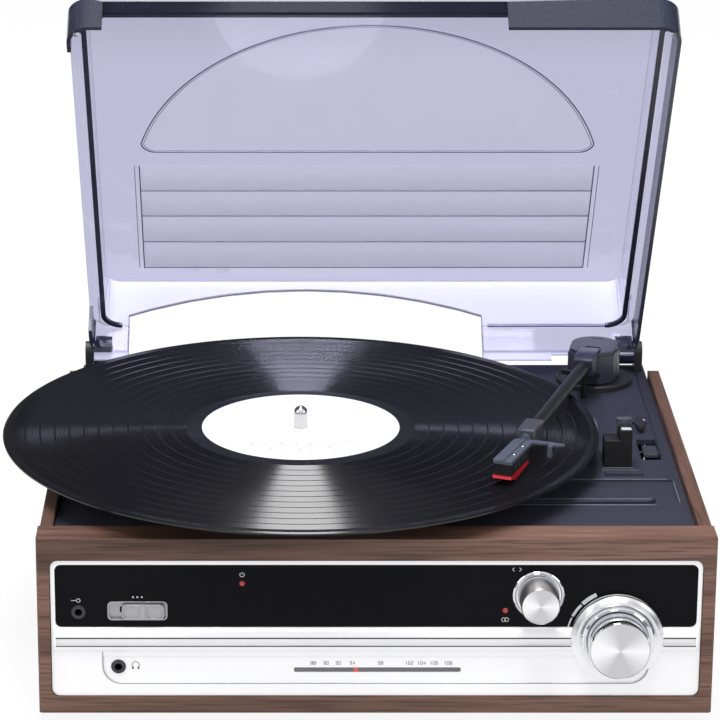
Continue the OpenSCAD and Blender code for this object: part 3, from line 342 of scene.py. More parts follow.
LOOKS = {
    "wood": wood("walnut_along_x", 0, 1.3),
    "wood_along_y": wood("walnut_along_y", 1, 0.98),
    "fibre_board": plain("fibre_board", (0.30, 0.20, 0.12), 0.8, change=0.25, scale=400),
    "black_plastic": plain("black_plastic", (0.020, 0.020, 0.024), 0.38, bump=0.2, edge=0.0004),
    "grey_plastic": plain("grey_plastic", (0.075, 0.076, 0.092), 0.42, bump=0.2, edge=0.0004),
    "deck_plastic": plain("deck_plastic", (0.033, 0.034, 0.050), 0.5, change=0.05, bump=0.5, specular=0.25,
                          edge=0.0005),
    "silver_plastic": plain("silver_paint", (0.90, 0.90, 0.91), 0.34, metal=0.25, change=0.012, bump=0.1,
                            edge=0.0003),
    "gloss_black": plain("gloss_black", (0.0035, 0.0035, 0.0045), 0.06, specular=0.07, change=0.05),
    "scale_grey": plain("scale_grey", (0.10, 0.10, 0.11), 0.5),
    "bright_chrome": plain("bright_chrome", (0.82, 0.82, 0.85), 0.08, metal=1.0, change=0.02),
    "satin_chrome": plain("satin_chrome", (0.78, 0.78, 0.81), 0.33, metal=1.0, change=0.04, scale=300,
                          stretch=(1, 0.05, 1)),
    "collar_chrome": plain("collar_chrome", (0.80, 0.80, 0.82), 0.34, metal=1.0, change=0.005),
    "spun_face_painted_sheen": spun("spun_face_painted_sheen", (0.92, 0.92, 0.94), 0.62),
    "slide_grey": plain("slide_grey", (0.36, 0.36, 0.385), 0.25, metal=0.6, change=0.05, edge=0.0003),
    "pointer_red": plain("pointer_red", (0.75, 0.10, 0.08), 0.4, change=0.1),
    "dial_grey": plain("dial_grey", (0.13, 0.13, 0.14), 0.35, change=0.08),
    "housing_grey": plain("housing_grey", (0.030, 0.032, 0.050), 0.3, bump=0.15, edge=0.0005),
    "sleeve_grey": plain("sleeve_grey", (0.040, 0.042, 0.054), 0.34, bump=0.2, edge=0.0004),
    "head_grey": plain("head_grey", (0.072, 0.082, 0.115), 0.3, bump=0.2, edge=0.0003),
    "smoke_frosted": plain("smoke_frosted", (0.026, 0.029, 0.048), 0.55, change=0.3, scale=900, bump=0.6,
                           grain=900.0, specular=0.12),
    "red_lens": glowing("red_lens", (0.40, 0.05, 0.045), 0.25),
    "tube_black": plain("tube_black", (0.012, 0.012, 0.014), 0.5, bump=0.2, specular=0.25),
    # pale strips for painted highlights on the deck's moulded edges
    "painted_edge_highlight": plain("painted_edge_highlight", (0.16, 0.17, 0.20), 0.4, change=0.2, scale=400),
    "step_painted_shade": plain("step_painted_shade", (0.30, 0.30, 0.31), 0.5, change=0.1, scale=400),
    "rubber": plain("rubber", (0.018, 0.018, 0.019), 0.8, bump=0.4),
    "steel": plain("steel", (0.62, 0.61, 0.60), 0.2, metal=1.0, change=0.06),
    "brass": plain("brass", (0.70, 0.48, 0.18), 0.25, metal=1.0, change=0.06),
    "board_green": plain("board_green", (0.03, 0.14, 0.06), 0.4, change=0.3, scale=300),
    "aluminium": plain("aluminium", (0.70, 0.71, 0.73), 0.28, metal=1.0, change=0.04),
    "black_metal": plain("black_metal", (0.010, 0.010, 0.012), 0.34, change=0.1, edge=0.0003, specular=0.35),
    "vinyl": plain("vinyl", (0.006, 0.006, 0.008), 0.16, change=0.1, specular=0.5, scale=30),
    "label_paper": plain("label_paper", (0.80, 0.80, 0.79), 0.6, change=0.012, bump=0.1),
    "label_print": plain("label_print", (0.22, 0.22, 0.24), 0.6, change=0.2, scale=600),
    "label_print_pale": plain("label_print_pale", (0.62, 0.62, 0.63), 0.6, change=0.1, scale=600),
    "pale_print_and_highlight": plain("pale_print_and_highlight", (0.55, 0.55, 0.57), 0.5, change=0.1, scale=900),
    "dark_print": plain("dark_print", (0.10, 0.10, 0.11), 0.5, change=0.1, scale=900),
    "shadow_gap": plain("shadow_gap", (0.05, 0.05, 0.052), 0.8, change=0.15, scale=300, specular=0.1),
    "smoke_clear": clear("smoke_clear", (0.55, 0.55, 0.73), change=0.22, gloss=0.04),
    "louvre_film": film("louvre_film", (1.0, 1.0, 1.0), 0.13, painted_foot_shade=True),
    "wall_film": film("wall_film", (1.0, 1.0, 1.0), 0.6),
    "foot_film": film("foot_film", (0.90, 0.91, 1.0), 0.45),
    "field_film": film("field_film", (1.0, 1.0, 1.0), 0.08),
    "clear_rubber": clear("clear_rubber", (0.8, 0.8, 0.82), 0.3),
    # dark edges of the clear cover, seen edge on: painted shade
    "smoke_dark": plain("smoke_dark", (0.026, 0.028, 0.050), 0.16, specular=0.5, edge=0.0003),
    # dark lines where the cover is moulded: painted shade
    "smoke_painted_shade_line": plain("smoke_painted_shade_line", (0.10, 0.10, 0.16), 0.25, change=0.1),
    # pale lines beside the moulding and along cut edges: painted highlight
    "smoke_painted_highlight": plain("smoke_painted_highlight", (0.25, 0.25, 0.36), 0.25, change=0.1),
    "red_plastic": plain("red_plastic", (0.50, 0.014, 0.022), 0.2, change=0.1, edge=0.0003),
    "white_plastic": plain("white_plastic", (0.75, 0.75, 0.76), 0.4, change=0.05),
}


def wear(obj, material):
    """Gives an object one material alone."""
    obj.data.materials.clear()
    obj.data.materials.append(material)


def shade(obj, angle=30):
    """Smooth shading, with edges over the angle left sharp."""
    obj.data.polygons.foreach_set("use_smooth", [True] * len(obj.data.polygons))
    obj.data.set_sharp_from_angle(angle=math.radians(angle))


for entry in frame["record"]["subparts"]:
    if entry["node"] in NODES:
        wear(NODES[entry["node"]], LOOKS[entry["material_slot"]])
        shade(NODES[entry["node"]])

# Nodes that look different from the others of their slot
OWN_LOOKS = {
    "side_board_left": "wood_along_y",
    "side_board_right": "wood_along_y",
    "function_slide": "slide_grey",
    "switch_plate": "slide_grey",
    "arm_housing": "housing_grey",
    "headshell": "head_grey",
    "cartridge": "black_metal",
    "cue_lever": "sleeve_grey",
    "arm_tube": "tube_black",
    "volume_collar": "collar_chrome",
    "volume_bezel": "bright_chrome",
}
for node, look in OWN_LOOKS.items():
    wear(NODES[node], LOOKS[look])


# Building blocks for the pieces that the scene adds

def piece(name, body, look, points, faces, place=UPRIGHT, bevel=0.0, angle=30):
    """One closed piece, given in millimetres in the frame place, that moves with a body."""
    mesh = bpy.data.meshes.new(name)
    mesh.from_pydata([(place @ Vector(p)) * MM + shift for p in points], [], faces)
    mesh.validate()
    if place.determinant() < 0:
        mesh.flip_normals()
    obj = bpy.data.objects.new(name, mesh)
    bpy.context.scene.collection.objects.link(obj)
    wear(obj, LOOKS[look])
    shade(obj, angle)
    if bevel:
        edge = obj.modifiers.new("rounded_edges", "BEVEL")
        edge.width = bevel * MM
        edge.segments = 2
        edge.limit_method = "ANGLE"
        edge.angle_limit = math.radians(35)
        edge.harden_normals = False
    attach(obj, body)
    return obj


def turned(profile, steps=96):
    """Closed ring or disc turned about Z from a closed profile of (radius, height)."""
    points = []
    for k in range(steps):
        a = 2 * math.pi * k / steps
        points += [(r * math.cos(a), r * math.sin(a), h) for r, h in profile]
    n = len(profile)
    faces = []
    for k in range(steps):
        here = k * n
        there = ((k + 1) % steps) * n
        for i in range(n):
            j = (i + 1) % n
            faces.append((here + i, there + i, there + j, here + j))
    return points, faces


def prism(outline, low, high):
    """Straight prism over a counter-clockwise outline in X and Y."""
    n = len(outline)
    points = [(x, y, low) for x, y in outline] + [(x, y, high) for x, y in outline]
    faces = [tuple(reversed(range(n))), tuple(range(n, 2 * n))]
    faces += [(i, (i + 1) % n, n + (i + 1) % n, n + i) for i in range(n)]
    return points, faces


def block(x0, x1, y0, y1, z0, z1):
    return prism([(x0, y0), (x1, y0), (x1, y1), (x0, y1)], z0, z1)


def rod(path, radius, sides=10):
    """Round rod along a path of points, with flat ends."""
    path = [Vector(p) for p in path]
    points = []
    side = None
    for i, p in enumerate(path):
        ahead = path[min(i + 1, len(path) - 1)] - path[max(i - 1, 0)]
        ahead.normalize()
        if side is None:
            side = ahead.cross(Vector((0.31, 0.17, 0.93))).normalized()
        side = (side - ahead * side.dot(ahead)).normalized()
        up = ahead.cross(side)
        for k in range(sides):
            a = 2 * math.pi * k / sides
            points.append(p + side * (radius * math.cos(a)) + up * (radius * math.sin(a)))
    faces = [tuple(reversed(range(sides)))]
    last = (len(path) - 1) * sides
    faces.append(tuple(range(last, last + sides)))
    for i in range(len(path) - 1):
        for k in range(sides):
            m = (k + 1) % sides
            faces.append((i * sides + k, i * sides + m, (i + 1) * sides + m, (i + 1) * sides + k))
    return points, faces


def band(path, width, low, high):
    """Flat strip of one width along an open path in X and Y."""
    path = [Vector(p) for p in path]
    left, right = [], []
    for i, p in enumerate(path):
        ahead = (path[min(i + 1, len(path) - 1)] - path[max(i - 1, 0)]).normalized()
        across = Vector((-ahead.y, ahead.x)) * width / 2
        left.append(p + across)
        right.append(p - across)
    n = len(path)
    rows = ((left, low), (right, low), (right, high), (left, high))
    points = [(p.x, p.y, z) for row, z in rows for p in row]
    faces = [(0, n, 2 * n, 3 * n), (n - 1, 4 * n - 1, 3 * n - 1, 2 * n - 1)]
    for i in range(n - 1):
        for k in range(4):
            here, there = k * n + i, ((k + 1) % 4) * n + i
            faces.append((here, here + 1, there + 1, there))
    return points, faces


def arc(x, y, r, start, end, count=16):
    """Points of an arc, in degrees counted from the X axis."""
    angles = [math.radians(start + (end - start) * i / count) for i in range(count + 1)]
    return [(x + r * math.cos(a), y + r * math.sin(a)) for a in angles]


def ring(r_in, r_out, z0, z1):
    """Profile of a flat ring, for turned."""
    return [(r_in, z0), (r_out, z0), (r_out, z1), (r_in, z1)]


def join(*shapes):
    """Several shapes as one."""
    points = []
    faces = []
    for shape_points, shape_faces in shapes:
        start = len(points)
        points += [tuple(p) for p in shape_points]
        faces += [tuple(start + i for i in f) for f in shape_faces]
    return points, faces


def strokes(lines, width, thick=0.04):
    """Flat printed strokes along several lines of (x, y)."""
    return join(*[band(line, width, 0, thick) for line in lines])


# Record and label

# Chamfer of the record's edge, across and down
edge_w = 0.8
edge_h = 0.6


def groove_profile():
    """Top of the record: bare lip, V grooves in bands with a smooth land between them, and run-out."""
    pitch = 0.66
    depth = 0.22
    land = 0.8
    grooves_in_band = 10
    crest = -0.12
    inner = label_r + 7
    lip = 3.0
    lip_slope = 0.8
    run_in = 4.4
    points = [(record_r - edge_w, 0.0), (record_r - lip, 0.0), (record_r - lip - lip_slope, crest)]
    r = record_r - run_in
    count = 0
    while r > inner + pitch:
        points += [(r, crest), (r - pitch / 2, crest - depth)]
        r -= pitch
        count += 1
        if count % grooves_in_band == 0:
            points += [(r, crest), (r - land, crest)]
            r -= land
    return points + [(r, crest), (inner, -0.3), (inner - 2, -0.15)]


def make_record():
    """Grooved record in place of the plain one, with the rings, lines and diamonds of its label."""
    low = low_of("record").z - record_z
    hole = 3.62
    outline = [(hole, low), (record_r - edge_w, low), (record_r, low + edge_h), (record_r, -edge_h)]
    outline += groove_profile() + [(hole, -0.15)]
    place = move(record_mid.x, record_mid.y, record_z)
    grooved = piece("grooved_record", "turntable", "vinyl", *turned(outline, STEPS), place, angle=18)
    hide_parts("record")
    print_t = 0.03
    rim = ring(label_r - 3.4, label_r - 3.1, 0, print_t)
    piece("label_ring", "turntable", "label_print_pale", *turned(rim, STEPS), place)
    inner_rim = ring(19.0, 19.25, 0, print_t)
    piece("label_inner_ring", "turntable", "label_print_pale", *turned(inner_rim, STEPS), place)
    ruled = []
    ruled_x = 32
    ruled_pitch = 2.6
    for side, rows in ((-1, 5), (1, 6)):
        for k in range(rows):
            half = 7.5 - 0.8 * abs(k - rows // 2)
            y = 2 + ruled_pitch * k
            ruled.append([(side * ruled_x - half, y), (side * ruled_x + half, y)])
    piece("label_lines", "turntable", "label_print_pale", *strokes(ruled, 0.45), place)
    diamonds = []
    sown = ((-21, -27, 4.0), (-13, -34, 3.2), (-6, -26, 4.4), (2, -35, 3.0), (8, -28, 4.6), (17, -31, 3.4),
            (24, -24, 3.0))
    for x, y, r in sown:
        diamonds.append([(x - r, y), (x, y - r), (x + r, y), (x, y + r), (x - r, y)])
    piece("label_diamonds", "turntable", "label_print", *strokes(diamonds, 0.55), place)


make_record()


# Knobs with polished sides and spun faces. A profile that would reach the axis stops short of it by the
# radius of a pin
PIN = 0.02


def knob(node, body, place, side_profile, r_face, h_face, side_look):
    """Side turned from its profile, and a face of fine rings inside a thin polished edge."""
    side = piece(node + "_side", body, side_look, *turned(side_profile, STEPS), place)
    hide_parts(node)
    thick = 0.6
    ring_pitch = 0.5
    ring_depth = 0.03
    rings = [(PIN, h_face - thick), (r_face, h_face - thick)]
    count = int(r_face / ring_pitch)
    for k in range(count, 0, -1):
        r = r_face * k / count
        rings += [(r, h_face), (r - 0.25 * r_face / count, h_face - ring_depth)]
    rings.append((PIN, h_face))
    # the face's colour carries a painted highlight to both sides and painted shade up and down
    piece(node + "_face", body, "spun_face_painted_sheen", *turned(rings, STEPS), place, angle=60)


def make_knobs():
    """The two front knobs, each from its base to where the part's own knob ends."""
    volume_base = fascia_y - 2.4
    low, high = low_of("volume_knob"), high_of("volume_knob")
    r = (high.x - low.x) / 2
    out = volume_base - low.y
    base = on_front(volume_mid.x, volume_mid.z, volume_base)
    face_r = r - 0.5
    knob("volume_knob", "volume", base,
         [(PIN, 0), (r, 0), (r, out - 1.4), (r - 0.08, out - 1.0), (r - 0.25, out - 0.4),
          (face_r, out), (face_r - 0.15, out - 0.35), (PIN, out - 0.35)], face_r - 0.2, out - 0.12,
         "bright_chrome")
    low, high = low_of("tuning_knob"), high_of("tuning_knob")
    r = (high.x - low.x) / 2
    tuning_base = window_y - 1.2
    base = on_front(tuning_mid.x, tuning_mid.z, tuning_base)
    out = tuning_base - low.y
    face_r = r - 1.2
    knob("tuning_knob", "tuning", base,
         [(PIN, 0), (r, 0), (r - 0.2, 1.4), (r - 0.6, 2.4), (r - 0.8, out - 1.2), (face_r, out),
          (face_r - 0.15, out - 0.3), (PIN, out - 0.3)], face_r - 0.2, out - 0.1, "satin_chrome")


make_knobs()


# Printed marks on the fascia

GLYPHS = {
    "0": [[(0, 0), (2, 0), (2, 4), (0, 4), (0, 0)]],
    "1": [[(0.4, 3.4), (1, 4), (1, 0)]],
    "2": [[(0, 4), (2, 4), (2, 2), (0, 2), (0, 0), (2, 0)]],
    "4": [[(1.5, 0), (1.5, 4), (0, 1.3), (2.2, 1.3)]],
    "6": [[(2, 4), (0, 4), (0, 0), (2, 0), (2, 2.2), (0, 2.2)]],
    "8": [[(0, 0), (2, 0), (2, 4), (0, 4), (0, 0)], [(0, 2), (2, 2)]],
    "9": [[(0, 0), (2, 0), (2, 4), (0, 4), (0, 1.8), (2, 1.8)]],
}


def number(text, x, y, height):
    """Strokes of a number centred on X."""
    size = height / 4
    pitch = 3.3 * size
    start = x - (len(text) * pitch - 1.3 * size) / 2
    lines = []
    for k, digit in enumerate(text):
        for line in GLYPHS[digit]:
            lines.append([(start + k * pitch + px * size, y + py * size) for px, py in line])
    return lines


def print_on(name, look, lines, width, y_face, thick=0.04):
    piece(name, "cabinet", look, *strokes(lines, width, thick), on_front(0, 0, y_face))


def make_prints():
    """Numbers of the dial, and the small signs beside the controls, lamps and sockets."""
    dial = (("88", -29.8), ("90", -23.7), ("92", -17.8), ("94", -11.1), ("98", 2.3), ("102", 16.1),
            ("104", 22.0), ("106", 27.9), ("108", 34.6))
    digit_z = 30.4
    digit_h = 1.7
    numbers = []
    for text, x in dial:
        numbers += number(text, x, digit_z, digit_h)
    print_on("dial_numbers", "dark_print", numbers, 0.3, field_y)
    ear_x = -114.6
    phones = [arc(ear_x, 30.2, 1.7, -10, 190)]
    phones += [[(ear_x + side, 30.0), (ear_x + side, 27.9)] for side in (-1.6, 1.6)]
    print_on("headphone_mark", "dark_print", phones, 0.32, field_y)
    pads = [[(ear_x + side, 29.4), (ear_x + side, 28.2)] for side in (-1.2, 1.2)]
    print_on("headphone_pads", "dark_print", pads, 0.7, field_y)
    # growing bar round the upper left of the collar, in three lengths
    swell_r = 25.2
    swell_x, swell_z = volume_mid.x + 1.2, volume_mid.z - 1.0
    for k, (start, end, width) in enumerate(((171, 155, 0.7), (153, 137, 1.3), (135, 117, 1.9))):
        swell = arc(swell_x, swell_z, swell_r, start, end)
        print_on(f"loudness_bar_{k}", "pale_print_and_highlight", [swell], width, window_y)
    power_x, power_z = -63.6, 76.6
    power = [arc(power_x, power_z, 1.1, -235, 55), [(power_x, power_z + 1.3), (power_x, power_z)]]
    print_on("power_mark", "pale_print_and_highlight", power, 0.28, window_y)
    stereo_z = 53.6
    stereo = [arc(x, stereo_z, 1.0, 0, 360) for x in (60.7, 62.1)]
    print_on("stereo_mark", "pale_print_and_highlight", stereo, 0.25, window_y)
    plug_x, plug_z = -141.4, 63.4
    line_in = [arc(plug_x, plug_z, 0.9, 0, 360), [(plug_x - 3.4, plug_z), (plug_x - 1.0, plug_z)]]
    print_on("line_in_mark", "pale_print_and_highlight", line_in, 0.28, window_y)
    source_z = 65.1
    points, faces = turned(ring(PIN, 0.45, 0, 0.04), 20)
    dots = []
    for dot_x in (-115.4, -113.35, -111.2):
        dots.append(([(x + dot_x, y + source_z, z) for x, y, z in points], faces))
    piece("source_dots", "cabinet", "pale_print_and_highlight", *join(*dots), on_front(0, 0, window_y))
    tuning = [[(-1.2, 0.9), (-2.2, 0), (-1.2, -0.9)], [(1.2, 0.9), (2.2, 0), (1.2, -0.9)]]
    arrows_x, arrows_z = 66.5, 79.2
    tuning = [[(x + arrows_x, y + arrows_z) for x, y in line] for line in tuning]
    print_on("tuning_mark", "pale_print_and_highlight", tuning, 0.3, window_y)


make_prints()


def make_dial():
    """Grey window in the dial slot, with the lit pointer in front of it."""
    low, high = low_of("dial_pointer"), high_of("dial_pointer")
    mid_x, mid_z, half, tall = 0.85, 27.7, 39.7, 1.12
    left = arc(mid_x - half + tall, 0, tall, 90, 270, 8)
    right = arc(mid_x + half - tall, 0, tall, -90, 90, 8)
    window = on_front(0, mid_z, field_y + 0.3)
    piece("dial_window", "cabinet", "dial_grey", *prism(left + right, 0, 0.1), window, 0.03)
    x = (low.x + high.x) / 2
    mark = block(x - 1.1, x + 1.1, -1.0, 1.0, 0.14, 0.2)
    piece("dial_pointer_mark", "pointer", "pointer_red", *mark, window, 0.03)


make_dial()


def make_fascia_lines():
    """Thin dark joints above and below the inset strip, and a line of painted shade round the step of the
    lower field.
    """
    strip_half = 152.3
    collar_gap = 22.0
    gap_left = volume_mid.x - collar_gap
    gap_right = volume_mid.x + collar_gap
    joint_w = 0.6
    for name, z, y, thick in (("joint_above_strip", 45.15, fascia_y - 2.45, 0.1),
                              ("joint_below_strip", 41.1, fascia_y - 1.85, 0.6)):
        lines = [[(-strip_half, z), (gap_left, z)], [(gap_right, z), (strip_half, z)]]
        print_on(name, "shadow_gap", lines, joint_w, y, thick)
    side_margin = 24.6
    foot_margin = 6.5
    half = high_of("fascia_frame").x - side_margin
    low = low_of("fascia_frame").z + foot_margin
    corner = 8.9
    field_top = 38.0
    field = [(-half, field_top)] + arc(corner - half, low + corner, corner, 180, 270)
    field += arc(half - corner, low + corner, corner, 270, 360) + [(half, field_top)]
    # painted shade along the step round the lower field
    print_on("field_edge", "step_painted_shade", [field], 0.5, fascia_y, 0.05)


make_fascia_lines()


# Dust cover: its moulded lines and louvres, with painted shade and painted highlights along them, and the
# dark edges of its skirt in painted shade

def on_panel(name, look, shape):
    """Piece given in the cover's own frame."""
    return piece(name, "lid", look, *shape, PANEL)


def d_outline(grow):
    """Outline of the moulded half-round field, grown outwards by a little."""
    r = 122.7 + grow
    mid = 94.3
    corner = 7.5 + grow
    corner_x, corner_y = 111.0, 127.0
    start = 15.0
    top = arc(0, mid, r, start, 180 - start, 60)
    left = arc(-corner_x, corner_y, corner, 187, 270, 10)
    right = arc(corner_x, corner_y, corner, 270, 353, 10)
    return top + left + right + top[:1]


def make_panel_lines():
    """Outline and haze of the half-round field, and four louvres between fine lines; the dark lines are
    painted shade and the pale ones painted highlights of the moulding.
    """
    z = cover_top
    on_panel("field_line", "smoke_painted_shade_line", band(d_outline(0), 0.6, z - 0.35, z + 0.1))
    on_panel("field_line_inner", "smoke_painted_highlight", band(d_outline(-1.3), 0.4, z - 0.2, z + 0.1))
    on_panel("field_haze", "field_film", prism(d_outline(-0.6)[:-1], z - 0.3, z - 0.1))
    edges = (22.6, 45.0, 67.0, 88.0, 108.5)
    half = 120.0
    inset = 0.4
    for k, (near, far) in enumerate(zip(edges, edges[1:])):
        louvre = block(inset - half, half - inset, near + inset, far - inset, z - 0.3, z - 0.1)
        # each louvre's film carries painted shade, darker towards its foot
        on_panel(f"louvre_{k}", "louvre_film", louvre)
        line = [(-half, near), (half, near)]
        on_panel(f"louvre_line_{k}", "smoke_painted_shade_line", band(line, 0.5, z - 0.5, z + 0.1))
    for side in (-1, 1):
        upright = [(side * half, edges[0]), (side * half, edges[-1])]
        on_panel(f"louvre_side_{side + 1}", "smoke_painted_shade_line", band(upright, 0.6, z - 0.6, z + 0.1))
        outer = [(side * (half + 2.6), edges[0]), (side * (half + 2.6), edges[-1])]
        on_panel(f"louvre_rim_{side + 1}", "smoke_painted_highlight", band(outer, 0.4, z - 0.3, z + 0.1))


make_panel_lines()


def make_bead():
    """Bead of painted shade along the inner edge of the ledge, thinner at the front, with a grey painted
    highlight at the rear.
    """
    x = 142.2
    rear = 3.0
    front = 251.5
    r = 10.0
    side_w, front_w, rear_w = 2.6, 1.7, 1.0
    low, high = ledge_b - 1.0, ledge_b + 0.6
    for side in (-1, 1):
        corner = arc(x - r, rear + r, r, 270, 360, 12)
        path = corner + [(x, front - r)] + arc(x - r, front - r, r, 0, 90, 12)
        path = [(side * px, a) for px, a in path]
        on_panel(f"bead_side_{side + 1}", "smoke_dark", band(path, side_w, low, high))
    on_panel("bead_front", "smoke_dark", band([(r - x, front), (x - r, front)], front_w, low, high))
    on_panel("bead_rear", "smoke_painted_highlight", band([(68.0, rear), (x - r, rear)], rear_w, low, high))


make_bead()


def make_skirt():
    """Frosted front skirt, thick edges darkened by painted shade and hazy rear wall of the cover, with a
    painted highlight along the arch in that wall.
    """
    cover = NODES["dust_cover"]
    for look in ("smoke_frosted", "smoke_dark", "wall_film"):
        cover.data.materials.append(LOOKS[look])
    frosted, dark, hazy = 1, 2, 3
    # where the walls and the skirt begin, in the cover's own frame
    rear_wall, skirt_inner, front_wall, skirt_front = 9.6, 249.0, 249.5, 258.5
    slack = 0.3
    back = PANEL.inverted()
    inside = cover_half - 2.2
    # faces of the thick walls and the skirt's edges take the painted shade
    for face in cover.data.polygons:
        x, a, b = back @ ((face.center - shift) / MM)
        if a > front_wall and b > ledge_b - slack:
            face.material_index = dark
        if a < rear_wall and b > ledge_b + slack:
            face.material_index = hazy
        if b > ledge_b - slack:
            continue
        if a > skirt_front:
            face.material_index = frosted
        elif abs(x) > inside or a > skirt_inner:
            face.material_index = dark
    # arch over the rear wall, its pale edge a painted highlight: it leans forward as it rises from the ledge
    arch_x, arch_r, arch_top = -32.0, 327.0, 38.0
    left, right = -128.7, 65.0
    wall_a = 1.0
    lean_run, lean_rise = 7.5, 27
    foot_b = -5.8
    arch = []
    steps = 40
    for k in range(steps + 1):
        x = left + (right - left) * k / steps
        b = arch_top - arch_r + math.sqrt(arch_r ** 2 - (x - arch_x) ** 2)
        arch.append((x, wall_a + (b - ledge_b) * lean_run / lean_rise, b))
    path = [(left, wall_a, foot_b), (left, wall_a, ledge_b)] + arch
    path += [(right, wall_a, ledge_b), (right, wall_a, foot_b)]
    piece("arch_edge", "lid", "smoke_painted_highlight", *rod(path, 0.42), PANEL)
    # feet of the rear wall on both sides of the arch, cut short over the arm disc
    disc_room = 22.5
    over_disc = arm_at.x - disc_room
    short_b = -2.2
    wall_half = cover_half - 2.4
    for side, x0, x1, low in (("left", -wall_half, left, foot_b), ("right", right, over_disc, foot_b),
                              ("far_right", over_disc, wall_half, short_b)):
        on_panel(f"wall_foot_{side}", "foot_film", block(x0, x1, 0.5, 1.8, low, 0.3))


make_skirt()


# Tonearm

def make_arm():
    """Sleeve and head of the tonearm, and the hood over the tube's root."""
    sleeve_y = -160.0
    sleeve_len = 22
    sleeve = block(-4.5, 4.5, sleeve_y - sleeve_len, sleeve_y, -4.1, 4.1)
    sleeve = piece("head_sleeve", "tonearm", "sleeve_grey", *sleeve, ARM_LINE, 0.7)
    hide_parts("arm_collar")
    hood = [(-9.5, 21.5), (-18.8, 10.5), (-33.5, 13.4), (-33.5, 22.4), (-29.5, 23.9), (-12.5, 22.9)]
    hood_half = 5.4
    points, faces = prism(hood, -hood_half, hood_half)
    points = [(x, y, z) for y, z, x in points]
    piece("tube_hood", "arm_yoke", "housing_grey", points, faces, ARM, 0.6)
    # screws of the head, the white pin of the finger lift and the ribs of the cartridge
    screw = turned([(0.4, 0), (1.1, 0), (1.1, 0.45), (0.9, 0.6), (0.4, 0.6), (0.4, 0.3)], 24)
    for k, y in enumerate((-11.0, -24.0)):
        piece(f"head_screw_{k}", "tonearm", "steel", *screw, HEAD @ move(2.6, y, 0))
    pin = turned([(PIN, -4.4), (0.75, -4.4), (0.75, 0.3), (0.55, 0.5), (PIN, 0.5)], 20)
    piece("lift_pin", "tonearm", "white_plastic", *pin, HEAD @ move(14.3, -4.5, -1.6))
    rib_pitch = 5.0
    rib_x, rib_half = 4.3, 0.35
    for k in range(4):
        y = -12.0 - rib_pitch * k
        for side in (-1, 1):
            x = rib_x * side
            rib = block(x - rib_half, x + rib_half, y - 0.7, y + 0.7, -7.4, -2.2)
            piece(f"cartridge_rib_{k}_{side + 1}", "tonearm", "black_plastic", *rib, HEAD, 0.15)
    # slot in the cap of the housing, drawn as a dark block: painted shade of its recess
    piece("housing_slot", "arm_yoke", "black_metal", *block(-3.2, 3.2, 8.2, 9.6, 21.2, 21.55), ARM, 0.1)


make_arm()


# Details of the deck

def on_deck(name, lines, width, rise):
    """Pale strips of painted highlight that stand up from the deck along several lines."""
    piece(name, "cabinet", "painted_edge_highlight", *strokes(lines, width, rise), move(0, 0, deck_z))


def make_deck_details():
    """Clip of the arm rest, with a painted highlight on its front post, and pale strips of painted highlight
    along the edges moulded into the deck.
    """
    rest_w, rest_l = 14, 12
    x, y = rest_high.x - rest_w, rest_low.y + 1
    post_x = x + 7.4
    step_z = deck_z + 1.2
    shelf_z = deck_z + 15
    clip = [block(x, x + rest_w, y, y + rest_l, step_z, deck_z + 15.2),
            block(post_x, x + rest_w, y, y + 4, shelf_z, deck_z + 20.6),
            block(x + 7.0, x + 14.4, y + 4.2, y + 8, shelf_z, deck_z + 21.4)]
    rest = piece("rest_clip", "cabinet", "tube_black", *join(*clip), UPRIGHT, 0.4)
    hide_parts("arm_rest")
    near, far = y + 8.4, y + rest_l
    top_z = deck_z + 23.6
    rest_frame = [block(x + 6.6, x + 8.2, near, far, shelf_z, top_z),
                  block(x + 12.8, x + rest_w, near, far, shelf_z, top_z),
                  block(x + 6.6, x + rest_w, near, far, deck_z + 22.6, deck_z + 24)]
    piece("rest_frame", "cabinet", "grey_plastic", *join(*rest_frame), UPRIGHT, 0.2)
    # pale cap on the front post: painted highlight on the post's top edge
    cap = block(x + 8.4, x + 13.4, y + 0.5, y + 3.4, deck_z + 20.5, deck_z + 21.1)
    piece("rest_cap_highlight", "cabinet", "pale_print_and_highlight", *cap, UPRIGHT, 0.2)
    # painted highlights along the foot of the rest
    foot_highlights = [[(x - 0.4, y - 1.2), (x + 14.4, y - 1.2)], [(x - 1.4, y - 4.6), (x + 17, y - 4.6)]]
    on_deck("rest_foot_highlight", foot_highlights, 0.7, 1.3)
    dot = turned(ring(PIN, 0.8, 0, 0.5), 20)
    for k, dot_x in enumerate((x + 25.2, x + 27.6)):
        piece(f"pale_dot_{k}", "cabinet", "white_plastic", *dot, move(dot_x, y + 75.0, deck_z))
    # painted highlights along the edges of the tray, and of the bar that lies in it
    edge_x = x + 33
    tray_left = -60
    on_deck("tray_rear_highlight", [[(x - 20, y - 14.8), (edge_x - 3, y - 14.8)]], 0.9, 0.1)
    on_deck("tray_side_highlight", [[(edge_x - 0.2, y - 18), (edge_x - 0.2, y - 48)]], 0.5, 0.1)
    on_deck("tray_bar_highlight", [[(tray_left, y - 45.0), (x + 19, y - 45.0)]], 0.8, 0.95)
    on_deck("tray_front_highlight", [[(tray_left, y - 50.9), (x + 21, y - 50.9)]], 1.0, 0.1)


make_deck_details()


# Camera, light and backdrop

def aim(obj, target):
    """Turns a lamp towards a point."""
    obj.rotation_euler = (Vector(target) - obj.location).to_track_quat("-Z", "Y").to_euler()


